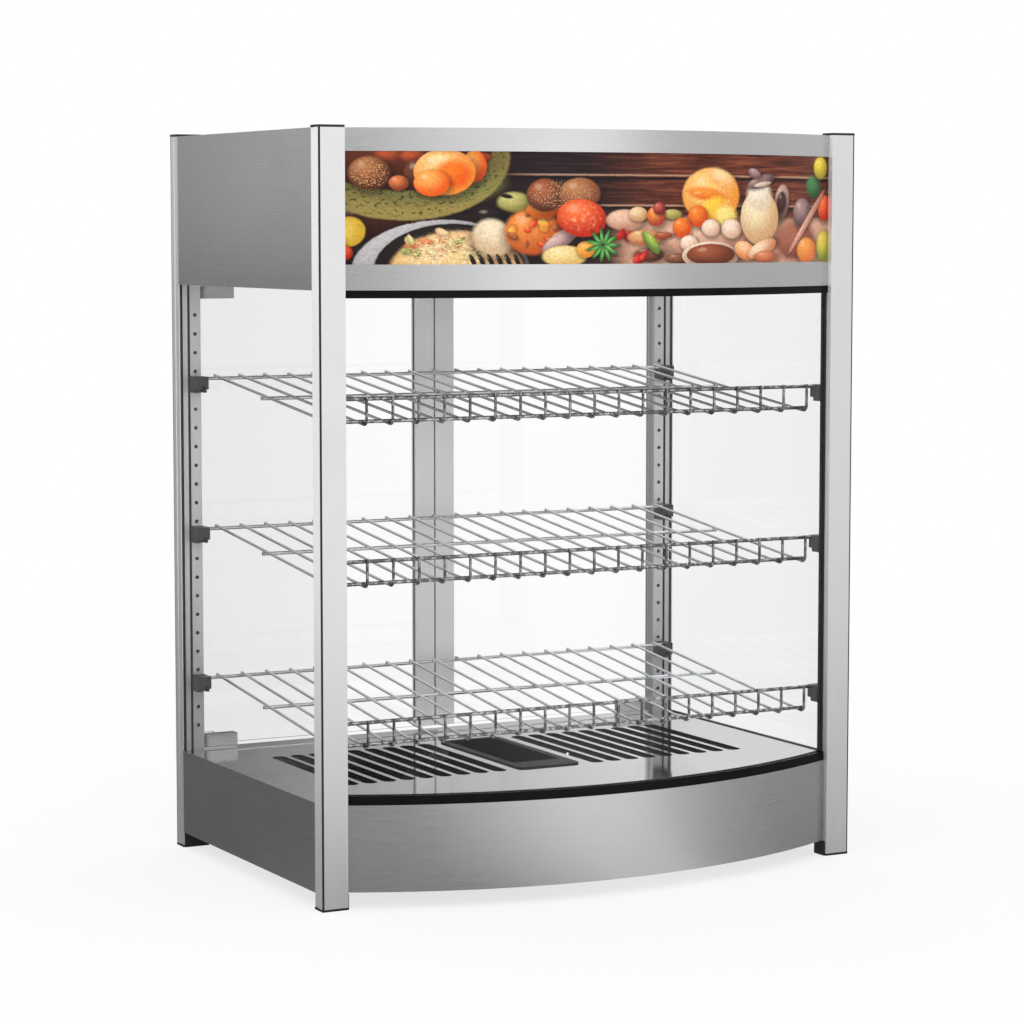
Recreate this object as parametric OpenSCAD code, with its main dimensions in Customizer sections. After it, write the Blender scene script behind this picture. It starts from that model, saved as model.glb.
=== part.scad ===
// Heated food display case for a counter: bowed glass front, lit picture header, three lift-out
// wire shelves, slotted heating deck with a water pan, and two glass doors at the back.
// Millimetres. X runs across the front, +Y points to the back, +Z is up. The origin is the
// middle of the overall footprint, on the surface that the case stands on.

/* [Case] */
// Width over the corner posts
case_w = 643; // [600:1:720]
// Depth over the corner posts, without the bow and the door grips
case_d = 400; // [390:1:460]
// Height from the counter to the top of the post caps
case_h = 800; // [790:1:860]
// How far the middle of the front curve stands in front of its ends
bow = 72.5; // [50:0.5:90]
// How far the door grips stand behind the corner posts
grip_out = 12; // [10:1:20]

/* [Posts] */
// Width of a corner post, seen from the front
post_w = 28.8; // [28:0.2:34]
// Depth of a corner post
post_d = 20; // [18:1:24]
// Thickness of the plastic post caps and foot pads
pad_t = 2.5; // [2:0.5:4]
// Distance between the shelf holes in a post
hole_pitch = 21; // [20:1:22]

/* [Levels] */
// Clear height under the base panels
base_z = 17; // [10:1:25]
// Top of the deck
deck_z = 109; // [100:1:120]
// Underside of the header
header_z = 634; // [624:1:644]
// Lower edge of the lit picture
picture_z = 660; // [655:1:664]
// Height of the lit picture
picture_h = 114; // [100:1:116]

/* [Shelves] */
// Height of the lowest shelf's rods
first_shelf_z = 186; // [186:21:207]
// Post holes between one shelf and the next
shelf_step = 8; // [6:1:8]
// Number of wires across a shelf
wire_count = 20; // [16:1:20]
// Distance between wires
wire_pitch = 29.8; // [26:0.2:29.8]
// Height of the front lip
lip_h = 30; // [20:1:34]
// How much higher the rear rod sits than the front rod
rear_rise = 8; // [0:1:12]

/* [Deck] */
// Slots on each side of the water pan
slot_count = 9; // [6:1:9]
// Width of a slot
slot_w = 16; // [12:0.5:17]
// Distance between slots
slot_pitch = 22.2; // [21:0.1:23]
// Length of a slot
slot_len = 200; // [160:1:205]

/* [Glass] */
// Thickness of the fixed panes
glass_t = 4; // [4:0.5:5]
// Thickness of the door panes
door_t = 5; // [4:0.5:5]

/* [Hidden] */

$fn = 48;
eps = 0.01;
big = 2000;

// plan
half_w = case_w / 2;
bow_inset = 6;
total_d = case_d + bow - bow_inset + grip_out;
front_y = -total_d / 2 + bow - bow_inset;
back_y = front_y + case_d;
mid_y = (front_y + back_y) / 2;
inner_w = half_w - post_w;
bow_r = (inner_w * inner_w + bow * bow) / (2 * bow);
bow_y = front_y + bow_inset - bow + bow_r;
bow_fn = 360;
sheet = 1;
front_sheet = 1.2;
post_top = case_h - pad_t;

// post section, measured from its outer corner
notch_w = 1.8;
notch_d = 1.8;
side_face_d = 10;
side_step = 0.6;
channel_u = side_step + 1;
gasket_t = 1;
channel_w = glass_t + gasket_t + 0.4;
channel_d = 6;
line_u = 13;
line_w = 3;
line_d = 3.5;
chamber_u = 17.2;
chamber_w = 9.6;
wall_t = 2;
hole_u = 22;
hole_r = 2.1;
first_hole_z = first_shelf_z - 48;
hole_count = 23;

// side panes and panels
pane_u = channel_u + 0.2;
deck_half_w = half_w - channel_u - channel_w;
side_y0 = front_y + post_d;
side_y1 = back_y - post_d;
side_len = side_y1 - side_y0;
panel_u = side_step;
ledge_z = deck_z - 5;

// levels
deck_t = 1.5;
deck_under = deck_z - deck_t;
band_z = deck_z + 8;
upper_band_z = header_z - 8;
picture_top = picture_z + picture_h;
channel_depth = 12;
pane_r = bow_r - 4;

// shelves
rod_r = 2;
wire_r = 1.5;
rod_v = 38;
rod_front_y = front_y + rod_v;
rod_rear_y = back_y - rod_v;
rod_half = half_w - hole_u;
weld = 3;
wire_drop = lip_h + rear_rise;
shelf_tilt = atan(wire_drop / (rod_rear_y - rod_front_y));
bend_r = 6;
bend_lap = 0.4;

// deck fittings
slot_x0 = 60.5;
slot_front = front_y + 102;
pan_rim_half = 38;
pan_well_half = 30;
pan_y0 = front_y + 104;
pan_y1 = front_y + 303;
well_y0 = front_y + 136;
well_y1 = front_y + 298;
pan_depth = 29;
pan_t = 1;

// heaters
tube_r = 4.25;
run_pitch = 50;
run_count = 4;
heater_z = 66;
heater_x0 = 80;
run_y0 = front_y + 120;
run_y1 = front_y + 285;
terminal_y = back_y - 60;
shield_z = 44;
shield_h = 16;
bracket_ys = [front_y + 135, front_y + 270];

// header light
lamp_y = front_y + 28;
lamp_z = 717;

// rear controls
panel_y = back_y - 2;
control_z = 62;
knob_x = -190;
rocker_xs = [-120, -80];
lamp_x = -45;
display_x = 30;
gland_x = 240;
gland_z = 45;
rocker_tilt = 8;
shaft_r = 3;
running = 0.05;

// doors
door_y = back_y - 7;
hinge_x = inner_w - 9;
knuckle_r = 7;
clamp_len = 41;
clamp_h = 13.5;
pin_r = 3;
door_z0 = deck_z + 5;
door_z1 = header_z - 3;
plate_t = 2;
stile_w = 24;
stile_t = 11;
stile_gap = 1;
stile_grip_t = 3;

module bow_ring(r_out, r_in, z0, z1, half = inner_w) {
  // a stretch of the curved front between the posts
  intersection() {
    translate([0, bow_y, z0]) difference() {
      cylinder(r = r_out, h = z1 - z0, $fn = bow_fn);
      translate([0, 0, -1]) cylinder(r = r_in, h = z1 - z0 + 2, $fn = bow_fn);
    }
    translate([-half, bow_y - big / 2, z0 - 1]) cube([2 * half, big / 2 - bow_r / 2, z1 - z0 + 2]);
  }
}

module plan(r, half, y_back) {
  // outline of the case inside the posts, with the curved front
  intersection() {
    translate([0, bow_y]) circle(r = r, $fn = bow_fn);
    translate([-inner_w + 0.2, bow_y - big / 2]) square([2 * inner_w - 0.4, y_back - bow_y + big / 2]);
  }
  translate([-half, side_y0 + 1.2]) square([2 * half, side_len - 2.4]);
}

module rounded(x0, x1, y0, y1, r) {
  translate([x0 + r, y0]) square([x1 - x0 - 2 * r, y1 - y0]);
  translate([x0, y0 + r]) square([x1 - x0, y1 - y0 - 2 * r]);
  for (x = [x0 + r, x1 - r], y = [y0 + r, y1 - r]) translate([x, y]) circle(r = r);
}

module slot(x0, x1, y0, y1) {
  // a slot along Y with round ends
  r = (x1 - x0) / 2;
  translate([x0, y0 + r]) square([x1 - x0, y1 - y0 - 2 * r]);
  for (y = [y0 + r, y1 - r]) translate([x0 + r, y]) circle(r = r);
}

module corner(sx, sy) {
  // moves a shape drawn from the outer front left corner to another corner
  translate([0, mid_y, 0])
    mirror([sx > 0 ? 1 : 0, 0, 0]) mirror([0, sy > 0 ? 1 : 0, 0])
      translate([-half_w, -case_d / 2, 0]) children();
}

module four_corners() {
  for (sx = [-1, 1], sy = [-1, 1]) corner(sx, sy) children();
}

module side(sx) {
  // moves a shape drawn from the left outer face to either side
  mirror([sx > 0 ? 1 : 0, 0, 0]) translate([-half_w, 0, 0]) children();
}

// ---- posts ----
module post_section() {
  difference() {
    square([post_w, post_d]);
    translate([-1, -1]) square([notch_w + 1, notch_d + 1]);
    translate([-1, side_face_d]) square([1 + side_step, post_d]);
    translate([channel_u, post_d - channel_d]) square([channel_w, channel_d + 1]);
    translate([line_u, post_d - line_d]) square([line_w, line_d + 1]);
    translate([chamber_u, wall_t]) square([chamber_w, post_d - 2 * wall_t]);
  }
}

module post(sx, sy) {
  color("silver") corner(sx, sy) difference() {
    translate([0, 0, pad_t]) linear_extrude(post_top - pad_t) post_section();
    for (k = [0 : hole_count - 1])
      translate([hole_u, post_d - wall_t - 1, first_hole_z + k * hole_pitch])
        rotate([-90, 0, 0]) cylinder(r = hole_r, h = wall_t + 2, $fn = 24);
  }
}

module post_end(z0, stem_z) {
  // a plate over the post's end with a plug in its chamber
  translate([0, 0, z0]) cube([post_w, post_d, pad_t]);
  translate([chamber_u + 0.3, wall_t + 0.3, stem_z]) cube([chamber_w - 0.6, post_d - 2 * wall_t - 0.6, 10]);
}

module post_front_left() { post(-1, -1); }
module post_front_right() { post(1, -1); }
module post_rear_left() { post(-1, 1); }
module post_rear_right() { post(1, 1); }

module post_caps() {
  color("#1c1c1e") four_corners() post_end(post_top, post_top - 10 + eps);
}

module foot_pads() {
  // pads with a raised rim along the posts' inner faces, below the base panels
  rim = 1.6;
  color("#1c1c1e") four_corners() {
    post_end(0, pad_t - eps);
    difference() {
      translate([2, 2, 0]) cube([post_w - 2 + rim, post_d - 2 + rim, base_z - 1]);
      translate([-1, -1, pad_t]) cube([post_w + 1, post_d + 1, base_z]);
    }
  }
}

module rubber_strips() {
  // strips in the posts' outer corners and grooves, gaskets on the inner faces of the side panes,
  // and gaskets in front of and behind the ends of the front glass
  color("#202022") {
    four_corners() {
      translate([0.2, 0.2, pad_t]) cube([notch_w - 0.2, notch_d - 0.2, post_top - pad_t]);
      translate([line_u, post_d - line_d, pad_t]) cube([line_w, line_d - 0.4, post_top - pad_t]);
      translate([channel_u + channel_w - gasket_t - 0.1, post_d - channel_d, deck_z + 0.2])
        cube([gasket_t, channel_d + 1, header_z - deck_z - 0.4]);
    }
    for (sx = [-1, 1]) difference() {
      side(sx) translate([post_w, front_y + 8.5, band_z]) cube([3, 10, upper_band_z - band_z]);
      bow_ring(pane_r + 0.1, pane_r - glass_t - 0.1, band_z - 1, upper_band_z + 1, half_w);
    }
  }
}

// ---- base ----
module side_panel(z0, z1) {
  // outer sheet, drawn from the outer face of the left side
  translate([panel_u, side_y0, z0]) cube([sheet, side_len, z1 - z0]);
}

module base_side(sx) {
  color("#b9babd") side(sx) {
    side_panel(base_z, deck_z + 1.5);
    translate([panel_u, side_y0, base_z]) cube([18, side_len, sheet]);
    translate([panel_u, side_y0, ledge_z - sheet]) cube([12, side_len, sheet]);
    for (y = [side_y0, side_y1 - sheet])
      translate([panel_u, y, base_z]) cube([16, sheet, ledge_z - base_z]);
  }
}

module base_side_left() { base_side(-1); }
module base_side_right() { base_side(1); }

module base_front_panel() {
  color("#c4c5c8") {
    bow_ring(bow_r, bow_r - front_sheet, base_z, deck_under);
    bow_ring(bow_r - front_sheet + eps, bow_r - 24, deck_under - front_sheet, deck_under);
    bow_ring(bow_r - front_sheet + eps, bow_r - 15, base_z, base_z + sheet);
  }
}

module base_rear_panel() {
  color("#b9babd") difference() {
    union() {
      translate([-inner_w, panel_y, base_z]) cube([2 * inner_w, sheet, deck_under - base_z]);
      translate([-inner_w, panel_y - 14, deck_under - sheet]) cube([2 * inner_w, 14 + eps, sheet]);
      translate([-inner_w, panel_y - 14, base_z]) cube([2 * inner_w, 14 + eps, sheet]);
    }
    translate([knob_x, panel_y, control_z]) rotate([90, 0, 0]) cylinder(r = 4, h = 10, center = true);
    for (x = rocker_xs) translate([x - 11, panel_y - 5, control_z - 14]) cube([22, 10, 28]);
    translate([lamp_x, panel_y, control_z]) rotate([90, 0, 0]) cylinder(r = 5, h = 10, center = true);
    translate([display_x - 30, panel_y - 5, control_z - 13]) cube([60, 10, 26]);
    translate([gland_x, panel_y, gland_z]) rotate([90, 0, 0]) cylinder(r = 8.5, h = 10, center = true);
    for (k = [0 : 9]) translate([110 + k * 8, panel_y - 5, 27]) cube([3.5, 10, 38]);
  }
}

module base_bottom_plate() {
  color("#9fa0a3") translate([0, 0, base_z + sheet]) linear_extrude(sheet) difference() {
    plan(bow_r - 2, half_w - 2.5, panel_y - 0.5);
    for (k = [-8 : 8]) translate([k * 30, mid_y]) slot(-4, 4, -60, 60);
  }
}

module deck_plate() {
  color("#d3d5d8") translate([0, 0, deck_under]) linear_extrude(deck_t) difference() {
    plan(bow_r - 12.5, deck_half_w, back_y - 1);
    for (s = [-1, 1], k = [0 : slot_count - 1]) translate([s * (slot_x0 + k * slot_pitch), 0])
      slot(-slot_w / 2, slot_w / 2, slot_front, slot_front + slot_len);
    rounded(-pan_well_half - 2, pan_well_half + 2, well_y0 - 2, well_y1 + 2, 6);
  }
}

module water_pan() {
  color("#3a3a38") difference() {
    union() {
      translate([0, 0, deck_z]) linear_extrude(1.5)
        rounded(-pan_rim_half, pan_rim_half, pan_y0, pan_y1, 8);
      translate([0, 0, deck_z - pan_depth]) linear_extrude(pan_depth + eps)
        rounded(-pan_well_half, pan_well_half, well_y0, well_y1, 5);
    }
    translate([0, 0, deck_z - pan_depth + pan_t]) linear_extrude(pan_depth + 5)
      rounded(-pan_well_half + pan_t, pan_well_half - pan_t, well_y0 + pan_t, well_y1 - pan_t, 4);
  }
}

// ---- heating ----
module heater(s) {
  // a tube in four runs along Y, joined by half turns, with both ends at the back
  color("#6d6a66") {
    for (k = [0 : run_count - 1]) {
      outer = k == 0 || k == run_count - 1;
      translate([s * (heater_x0 + k * run_pitch), run_y0, heater_z]) rotate([-90, 0, 0])
        cylinder(r = tube_r, h = (outer ? terminal_y : run_y1) - run_y0);
    }
    for (k = [0 : run_count - 2])
      translate([s * (heater_x0 + (k + 0.5) * run_pitch), k % 2 == 0 ? run_y0 : run_y1, heater_z])
        rotate([0, 0, k % 2 == 0 ? 180 : 0]) rotate_extrude(angle = 180)
          translate([run_pitch / 2, 0]) circle(r = tube_r, $fn = 32);
    for (k = [0, run_count - 1])
      translate([s * (heater_x0 + k * run_pitch), terminal_y - eps, heater_z]) rotate([-90, 0, 0]) {
        cylinder(r = 6, h = 14);
        cylinder(r = 2, h = 24);
      }
  }
}

module heater_left() { heater(-1); }
module heater_right() { heater(1); }

module heater_brackets() {
  color("#8d8e90") for (s = [-1, 1], y = bracket_ys) difference() {
    translate([s * (heater_x0 + 1.5 * run_pitch) - 90, y, shield_z + sheet]) cube([180, 1.5, 32]);
    for (k = [0 : run_count - 1]) translate([s * (heater_x0 + k * run_pitch), y - 1, heater_z])
      rotate([-90, 0, 0]) cylinder(r = tube_r + 0.15, h = 4);
  }
}

module heat_shield() {
  shield_half = 262;
  shield_y0 = front_y + 80;
  shield_len = 225;
  color("#a5a6a8") translate([-shield_half, shield_y0, shield_z]) difference() {
    cube([2 * shield_half, shield_len, shield_h]);
    translate([sheet, sheet, sheet]) cube([2 * shield_half - 2 * sheet, shield_len - 2 * sheet, 20]);
  }
  leg_h = shield_z - base_z - 2 * sheet;
  color("#a5a6a8") for (s = [-1, 1])
    translate([s * (shield_half - sheet / 2) - sheet / 2, shield_y0, base_z + 2 * sheet])
      cube([sheet, shield_len, leg_h + eps]);
}

module thermostat_body() {
  color("#2c2c30") difference() {
    union() {
      translate([knob_x - 20, panel_y - 38, control_z - 17]) cube([40, 36, 37]);
      translate([knob_x, panel_y + sheet, control_z]) rotate([90, 0, 0]) cylinder(r = 3.9, h = 5);
    }
    translate([knob_x, panel_y + 2, control_z]) rotate([90, 0, 0]) cylinder(r = shaft_r + running, h = 32);
  }
}

module thermostat_bulb() {
  // capillary from the thermostat forward to a bulb under the deck
  color("#b0713c") {
    translate([knob_x - 26, panel_y - 20, control_z + 18]) rotate([0, 90, 0]) cylinder(r = 1, h = 6);
    translate([knob_x - 26, panel_y - 20, control_z + 18]) sphere(r = 1.3);
    translate([knob_x - 26, panel_y - 20, control_z + 18]) rotate([90, 0, 0]) cylinder(r = 1, h = 90);
    translate([knob_x - 26, panel_y - 105, control_z + 18]) rotate([90, 0, 0]) cylinder(r = 2.5, h = 80);
  }
}

module thermostat_shaft() {
  color("#c9c9cb") translate([knob_x, back_y + 10, control_z]) rotate([90, 0, 0])
    cylinder(r = shaft_r, h = 10 + 2 + 26);
}

module thermostat_knob() {
  knob_r = 16;
  knob_h = 11;
  color("#1d1d1f") translate([knob_x, back_y + 1, control_z]) rotate([-90, 0, 0]) difference() {
    union() {
      cylinder(r = knob_r, h = 3);
      cylinder(r = knob_r - 3, h = knob_h);
      translate([-2, -knob_r + 0.5, 0]) cube([4, knob_r, knob_h]);
    }
    translate([0, 0, -1]) cylinder(r = shaft_r, h = 10);
  }
}

// ---- controls ----
module switch_housings() {
  color("#161618") for (x = rocker_xs) difference() {
    union() {
      translate([x - 12.5, panel_y + sheet, control_z - 16]) cube([25, 2, 32]);
      translate([x - 10.8, panel_y - 24, control_z - 13.8]) cube([21.6, 25 + eps, 27.6]);
    }
    translate([x - 8.5, panel_y - 12, control_z - 12]) cube([17, 20, 24]);
    translate([x - 10, panel_y - 2, control_z]) rotate([0, 90, 0]) cylinder(r = 1.5 + running, h = 20);
  }
}

module rocker(x, tint) {
  // a rocker on a cross pin, stored with its upper half pressed in
  color(tint) translate([x, panel_y - 2, control_z]) rotate([rocker_tilt, 0, 0]) {
    translate([-8.1, 0, 0]) rotate([90, 0, 90]) linear_extrude(16.2)
      polygon([[-3, -4], [-3, 4], [3, 10.6], [6.6, 10.6], [5, 0], [6.6, -10.6], [3, -10.6]]);
    rotate([0, 90, 0]) cylinder(r = 1.5, h = 19.4, center = true);
  }
}

module heat_rocker() { rocker(rocker_xs[0], "#a3161a"); }
module light_rocker() { rocker(rocker_xs[1], "#19191b"); }

module indicator_lamp() {
  color("#e08a1e") translate([lamp_x, panel_y + sheet, control_z]) rotate([-90, 0, 0]) {
    cylinder(r = 7, h = 2);
    cylinder(r = 5, h = 5);
    translate([0, 0, -14]) cylinder(r = 4.9, h = 14 + eps);
  }
}

module display_housing() {
  color("#18181a") translate([display_x, panel_y, control_z]) difference() {
    union() {
      translate([-33, sheet, -16]) cube([66, 2.5, 32]);
      translate([-29.8, -30, -12.8]) cube([59.6, 31 + eps, 25.6]);
    }
    translate([-26, 1.5, -10]) cube([52, 5, 20]);
  }
}

module display_window() {
  color("#3b0d10") translate([display_x - 25.9, panel_y + 1.5, control_z - 9.9]) cube([51.8, 1.5, 19.8]);
}

module cord_gland() {
  color("#141416") translate([gland_x, panel_y, gland_z]) rotate([-90, 0, 0]) difference() {
    union() {
      translate([0, 0, -10]) cylinder(r = 8.3, h = 20);
      translate([0, 0, sheet]) cylinder(r = 12, h = 4);
      translate([0, 0, -4]) cylinder(r = 12, h = 4 - eps, $fn = 6);
      translate([0, 0, 5]) cylinder(r = 10, h = 6);
    }
    translate([0, 0, -20]) cylinder(r = 4.5, h = 50);
  }
}

module terminal_block() {
  color("#d9d4c4") translate([175, back_y - 90, base_z + 2 * sheet]) difference() {
    cube([60, 26, 20]);
    for (k = [0 : 4]) translate([10 + k * 10, 13, 12]) cylinder(r = 3.2, h = 10, $fn = 24);
  }
}

module lead(points) {
  for (i = [0 : len(points) - 2]) {
    d = points[i + 1] - points[i];
    n = norm(d);
    translate(points[i]) rotate([0, acos(d[2] / n), atan2(d[1], d[0])]) cylinder(r = 1.5, h = n, $fn = 24);
  }
  for (i = [1 : len(points) - 2]) translate(points[i]) sphere(r = 1.9, $fn = 24);
}

module wiring() {
  // inner leads between the terminal block, the switches and the heaters
  lead_y = back_y - 42;
  low_z = 30;
  high_z = 52;
  heater_x1 = heater_x0 + (run_count - 1) * run_pitch;
  end_z = heater_z - 2;
  color("#8c2f24") {
    lead([[190, back_y - 64, low_z], [190, back_y - 54, low_z], [rocker_xs[1], back_y - 54, low_z],
      [rocker_xs[1], back_y - 54, high_z], [rocker_xs[1], panel_y - 24, high_z]]);
    lead([[205, back_y - 64, low_z], [205, lead_y, low_z], [heater_x1, lead_y, low_z],
      [heater_x1, lead_y, end_z]]);
    lead([[rocker_xs[0], panel_y - 24, high_z], [rocker_xs[0], lead_y, high_z],
      [-heater_x1, lead_y, high_z], [-heater_x1, lead_y, end_z]]);
  }
}

// ---- glass ----
module lower_glass_channel() {
  color("#0e0e10") difference() {
    bow_ring(bow_r - 0.4, bow_r - channel_depth, deck_under, band_z);
    bow_ring(pane_r + 0.2, pane_r - glass_t - 0.2, deck_z + 2, band_z + 1);
  }
}

module upper_glass_channel() {
  color("#0e0e10") difference() {
    bow_ring(bow_r - 0.4, bow_r - channel_depth, upper_band_z, header_z);
    bow_ring(pane_r + 0.2, pane_r - glass_t - 0.2, upper_band_z - 1, header_z - 2);
  }
}

module front_glass() {
  color("#cfe0e2", 0.3) bow_ring(pane_r, pane_r - glass_t, deck_z + 2.2, header_z - 2.4);
}

module side_glass(sx) {
  color("#cfe0e2", 0.3) side(sx)
    translate([pane_u, side_y0 - channel_d + 1, ledge_z])
      cube([glass_t, side_len + 2 * channel_d - 2, header_z + 6 - ledge_z]);
}

module side_glass_left() { side_glass(-1); }
module side_glass_right() { side_glass(1); }

// ---- header ----
module header_side(sx) {
  color("#aeb0b3") side(sx) {
    side_panel(header_z, post_top);
    translate([panel_u, side_y0, post_top - 2 * sheet]) cube([16, side_len, sheet]);
    for (y = [side_y0, side_y1 - sheet])
      translate([panel_u, y, header_z + 9]) cube([16, sheet, post_top - sheet - header_z - 9]);
  }
}

module header_side_left() { header_side(-1); }
module header_side_right() { header_side(1); }

module header_top_panel() {
  color("#b4b6b9") translate([0, 0, post_top - sheet]) linear_extrude(sheet)
    plan(bow_r - front_sheet - 0.1, half_w - 2.1, panel_y - 0.1);
}

module header_rear_panel() {
  color("#b4b6b9") difference() {
    union() {
      translate([-inner_w, panel_y, header_z]) cube([2 * inner_w, sheet, post_top - header_z]);
      for (z = [header_z, post_top - 2 * sheet])
        translate([-inner_w, panel_y - 14, z]) cube([2 * inner_w, 14 + eps, sheet]);
    }
    for (s = [-1, 1], k = [0 : 7]) translate([s * 190, panel_y - 5, 700 + k * 8]) translate([-50, 0, 0])
      cube([100, 10, 3]);
  }
}

module header_floor() {
  // closes the header from below, with a window for the light
  color("#c2c4c7") translate([0, 0, header_z + sheet]) linear_extrude(sheet) difference() {
    plan(bow_r - 15, deck_half_w, panel_y - 0.1);
    rounded(-230, 230, front_y + 30, front_y + 90, 6);
  }
}

module rail(z0, z1, fold_z, lid_z) {
  // curved strip with a fold at the picture's edge and one along the header's own edge
  bow_ring(bow_r, bow_r - front_sheet, z0, z1);
  bow_ring(bow_r - front_sheet + eps, bow_r - 14, fold_z, fold_z + front_sheet);
  bow_ring(bow_r - front_sheet + eps, bow_r - 25, lid_z, lid_z + sheet);
}

module fascia_upper_rail() {
  color("#cdced1") rail(picture_top, post_top, picture_top, post_top - 2 * sheet);
}

module fascia_lower_rail() {
  color("#cdced1") rail(header_z, picture_z, picture_z - front_sheet, header_z);
}

module picture_panel() {
  color("#c9853a") bow_ring(bow_r - 1.5, bow_r - 4.5, picture_z, picture_top);
}

module light_diffuser() {
  color("#f3f3ee", 0.8) bow_ring(bow_r - 8, bow_r - 10, picture_z + eps, picture_top - eps);
}

module lamp_tube() {
  color("#f6f6f2") translate([0, lamp_y, lamp_z]) rotate([0, 90, 0]) {
    cylinder(r = 8, h = 527, center = true);
    cylinder(r = 1.2, h = 537, center = true);
  }
}

module lamp_holders() {
  color("#e4e4e0") for (s = [-1, 1]) difference() {
    translate([s * 269 - 7, lamp_y - 12, header_z + 2 * sheet]) cube([14, 24, 96]);
    translate([s * 258, lamp_y, lamp_z]) rotate([0, s * 90, 0]) cylinder(r = 8.1, h = 8);
    translate([s * 258, lamp_y, lamp_z]) rotate([0, s * 90, 0]) cylinder(r = 1.4, h = 13);
  }
}

module lamp_driver() {
  color("#d8d8d6") {
    translate([-110, back_y - 120, header_z + 2 * sheet]) cube([220, 46, 30]);
    for (s = [-1, 1]) translate([s * 118 - 10, back_y - 110, header_z + 2 * sheet]) cube([20, 26, 1.5]);
  }
}

// ---- doors ----
module door(sx) {
  // moves a shape drawn for the left door, from its hinge axis towards the middle
  mirror([sx > 0 ? 1 : 0, 0, 0]) translate([-hinge_x, door_y, 0]) children();
}

module door_glass(sx) {
  edge = 6;
  notch = 7.5;
  color("#cfe0e2", 0.3) door(sx) difference() {
    translate([-edge, -door_t / 2, door_z0])
      cube([hinge_x - stile_gap - 12 + edge, door_t, door_z1 - door_z0]);
    for (z = [door_z0 - 1, door_z1 - clamp_h])
      translate([-edge - 1, -door_t, z]) cube([edge + 1 + notch, 2 * door_t, clamp_h + 1]);
  }
}

module door_glass_left() { door_glass(-1); }
module door_glass_right() { door_glass(1); }

module door_stile(sx) {
  // meeting edge that grips the pane, with a finger pull at the back
  x1 = hinge_x - stile_gap;
  grip_y = back_y + grip_out - door_y;
  color("#c6c8ca") door(sx) translate([0, 0, door_z0]) linear_extrude(door_z1 - door_z0) {
    difference() {
      translate([x1 - stile_w, -stile_t / 2]) square([stile_w, stile_t]);
      translate([x1 - stile_w - 1, -door_t / 2]) square([13, door_t]);
      translate([x1 - 9, -stile_t / 2 + 2]) square([7, stile_t - 4]);
    }
    translate([x1 - stile_grip_t, stile_t / 2 - eps]) square([stile_grip_t, grip_y - stile_t / 2 + eps]);
    translate([x1 - 14, grip_y - 2]) square([14, 2]);
  }
}

module door_stile_left() { door_stile(-1); }
module door_stile_right() { door_stile(1); }

module hinge_clamp(z0, bore_z) {
  // block that grips the pane's corner and turns on a pin
  difference() {
    union() {
      translate([0, 0, z0]) cylinder(r = knuckle_r, h = clamp_h);
      translate([0, -knuckle_r, z0]) cube([clamp_len - knuckle_r, 2 * knuckle_r, clamp_h]);
    }
    translate([7.5, -door_t / 2, z0 - 1]) cube([clamp_len, door_t, clamp_h + 2]);
    translate([0, 0, bore_z]) cylinder(r = pin_r + running, h = 12);
  }
}

module hinge_clamps(sx) {
  low = deck_z + plate_t + 0.5;
  high = header_z - plate_t - 0.5 - clamp_h;
  color("#9a9c9f") door(sx) {
    hinge_clamp(low, low - 0.5);
    hinge_clamp(high, high + clamp_h - 11.5);
  }
}

module hinge_clamps_left() { hinge_clamps(-1); }
module hinge_clamps_right() { hinge_clamps(1); }

module hinge_pins() {
  color("#b8babc") for (s = [-1, 1]) door(s) {
    translate([0, 0, deck_z]) cylinder(r = pin_r, h = 13);
    translate([0, 0, header_z - 13]) cylinder(r = pin_r, h = 13);
  }
}

module hinge_plates() {
  color("#9a9c9f") for (s = [-1, 1], z = [deck_z, header_z - plate_t]) door(s) difference() {
    translate([-8, -6, z]) cube([clamp_len + 1, 12, plate_t]);
    translate([0, 0, z - 1]) cylinder(r = pin_r + 0.02, h = plate_t + 2);
  }
}

// ---- shelves ----
module shelf_wire(z) {
  // one wire drawn in its own plane: down the slope, round the bend and up the lip
  lip_y = rod_front_y - weld;
  slope_z = z + rear_rise + weld;
  bend_y = lip_y + bend_r;
  bend_z = slope_z - (rod_rear_y - bend_y) * tan(shelf_tilt) + bend_r / cos(shelf_tilt);
  start = [bend_y + bend_r * sin(shelf_tilt), bend_z - bend_r * cos(shelf_tilt)];
  run = (rod_rear_y + 1.5 - start[0]) / cos(shelf_tilt) + bend_lap;
  translate(start) rotate([0, 0, shelf_tilt]) translate([-bend_lap, 0, 0]) rotate([0, 90, 0])
    cylinder(r = wire_r, h = run, $fn = 24);
  translate([bend_y, bend_z, 0]) rotate([0, 0, 180]) rotate_extrude(angle = 90 + shelf_tilt)
    translate([bend_r, 0]) circle(r = wire_r + 0.06, $fn = 24);
  translate([lip_y, bend_z - bend_lap, 0]) rotate([-90, 0, 0])
    cylinder(r = wire_r, h = z + 2.5 - bend_z + bend_lap, $fn = 24);
}

module cross_rod(y, z, half) {
  translate([0, y, z]) rotate([0, 90, 0]) cylinder(r = rod_r, h = 2 * half, center = true, $fn = 32);
}

function slope_height(z, y) = z + rear_rise + weld - (rod_rear_y - y) * tan(shelf_tilt);

module shelf(z) {
  wire_half = wire_pitch * (wire_count - 1) / 2;
  span = rod_rear_y - rod_front_y;
  middle_y = rod_rear_y - 0.42 * span;
  lip_rod_y = rod_front_y + 4;
  color("#b4b6b8") {
    for (k = [0 : wire_count - 1])
      translate([-wire_half + k * wire_pitch, 0, 0]) rotate([90, 0, 90]) shelf_wire(z);
    cross_rod(rod_front_y, z, rod_half);
    cross_rod(rod_rear_y, z + rear_rise, rod_half);
    cross_rod(middle_y, slope_height(z, middle_y) - weld, wire_half + 3);
    cross_rod(lip_rod_y, slope_height(z, lip_rod_y) + weld, wire_half + 3);
  }
}

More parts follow.
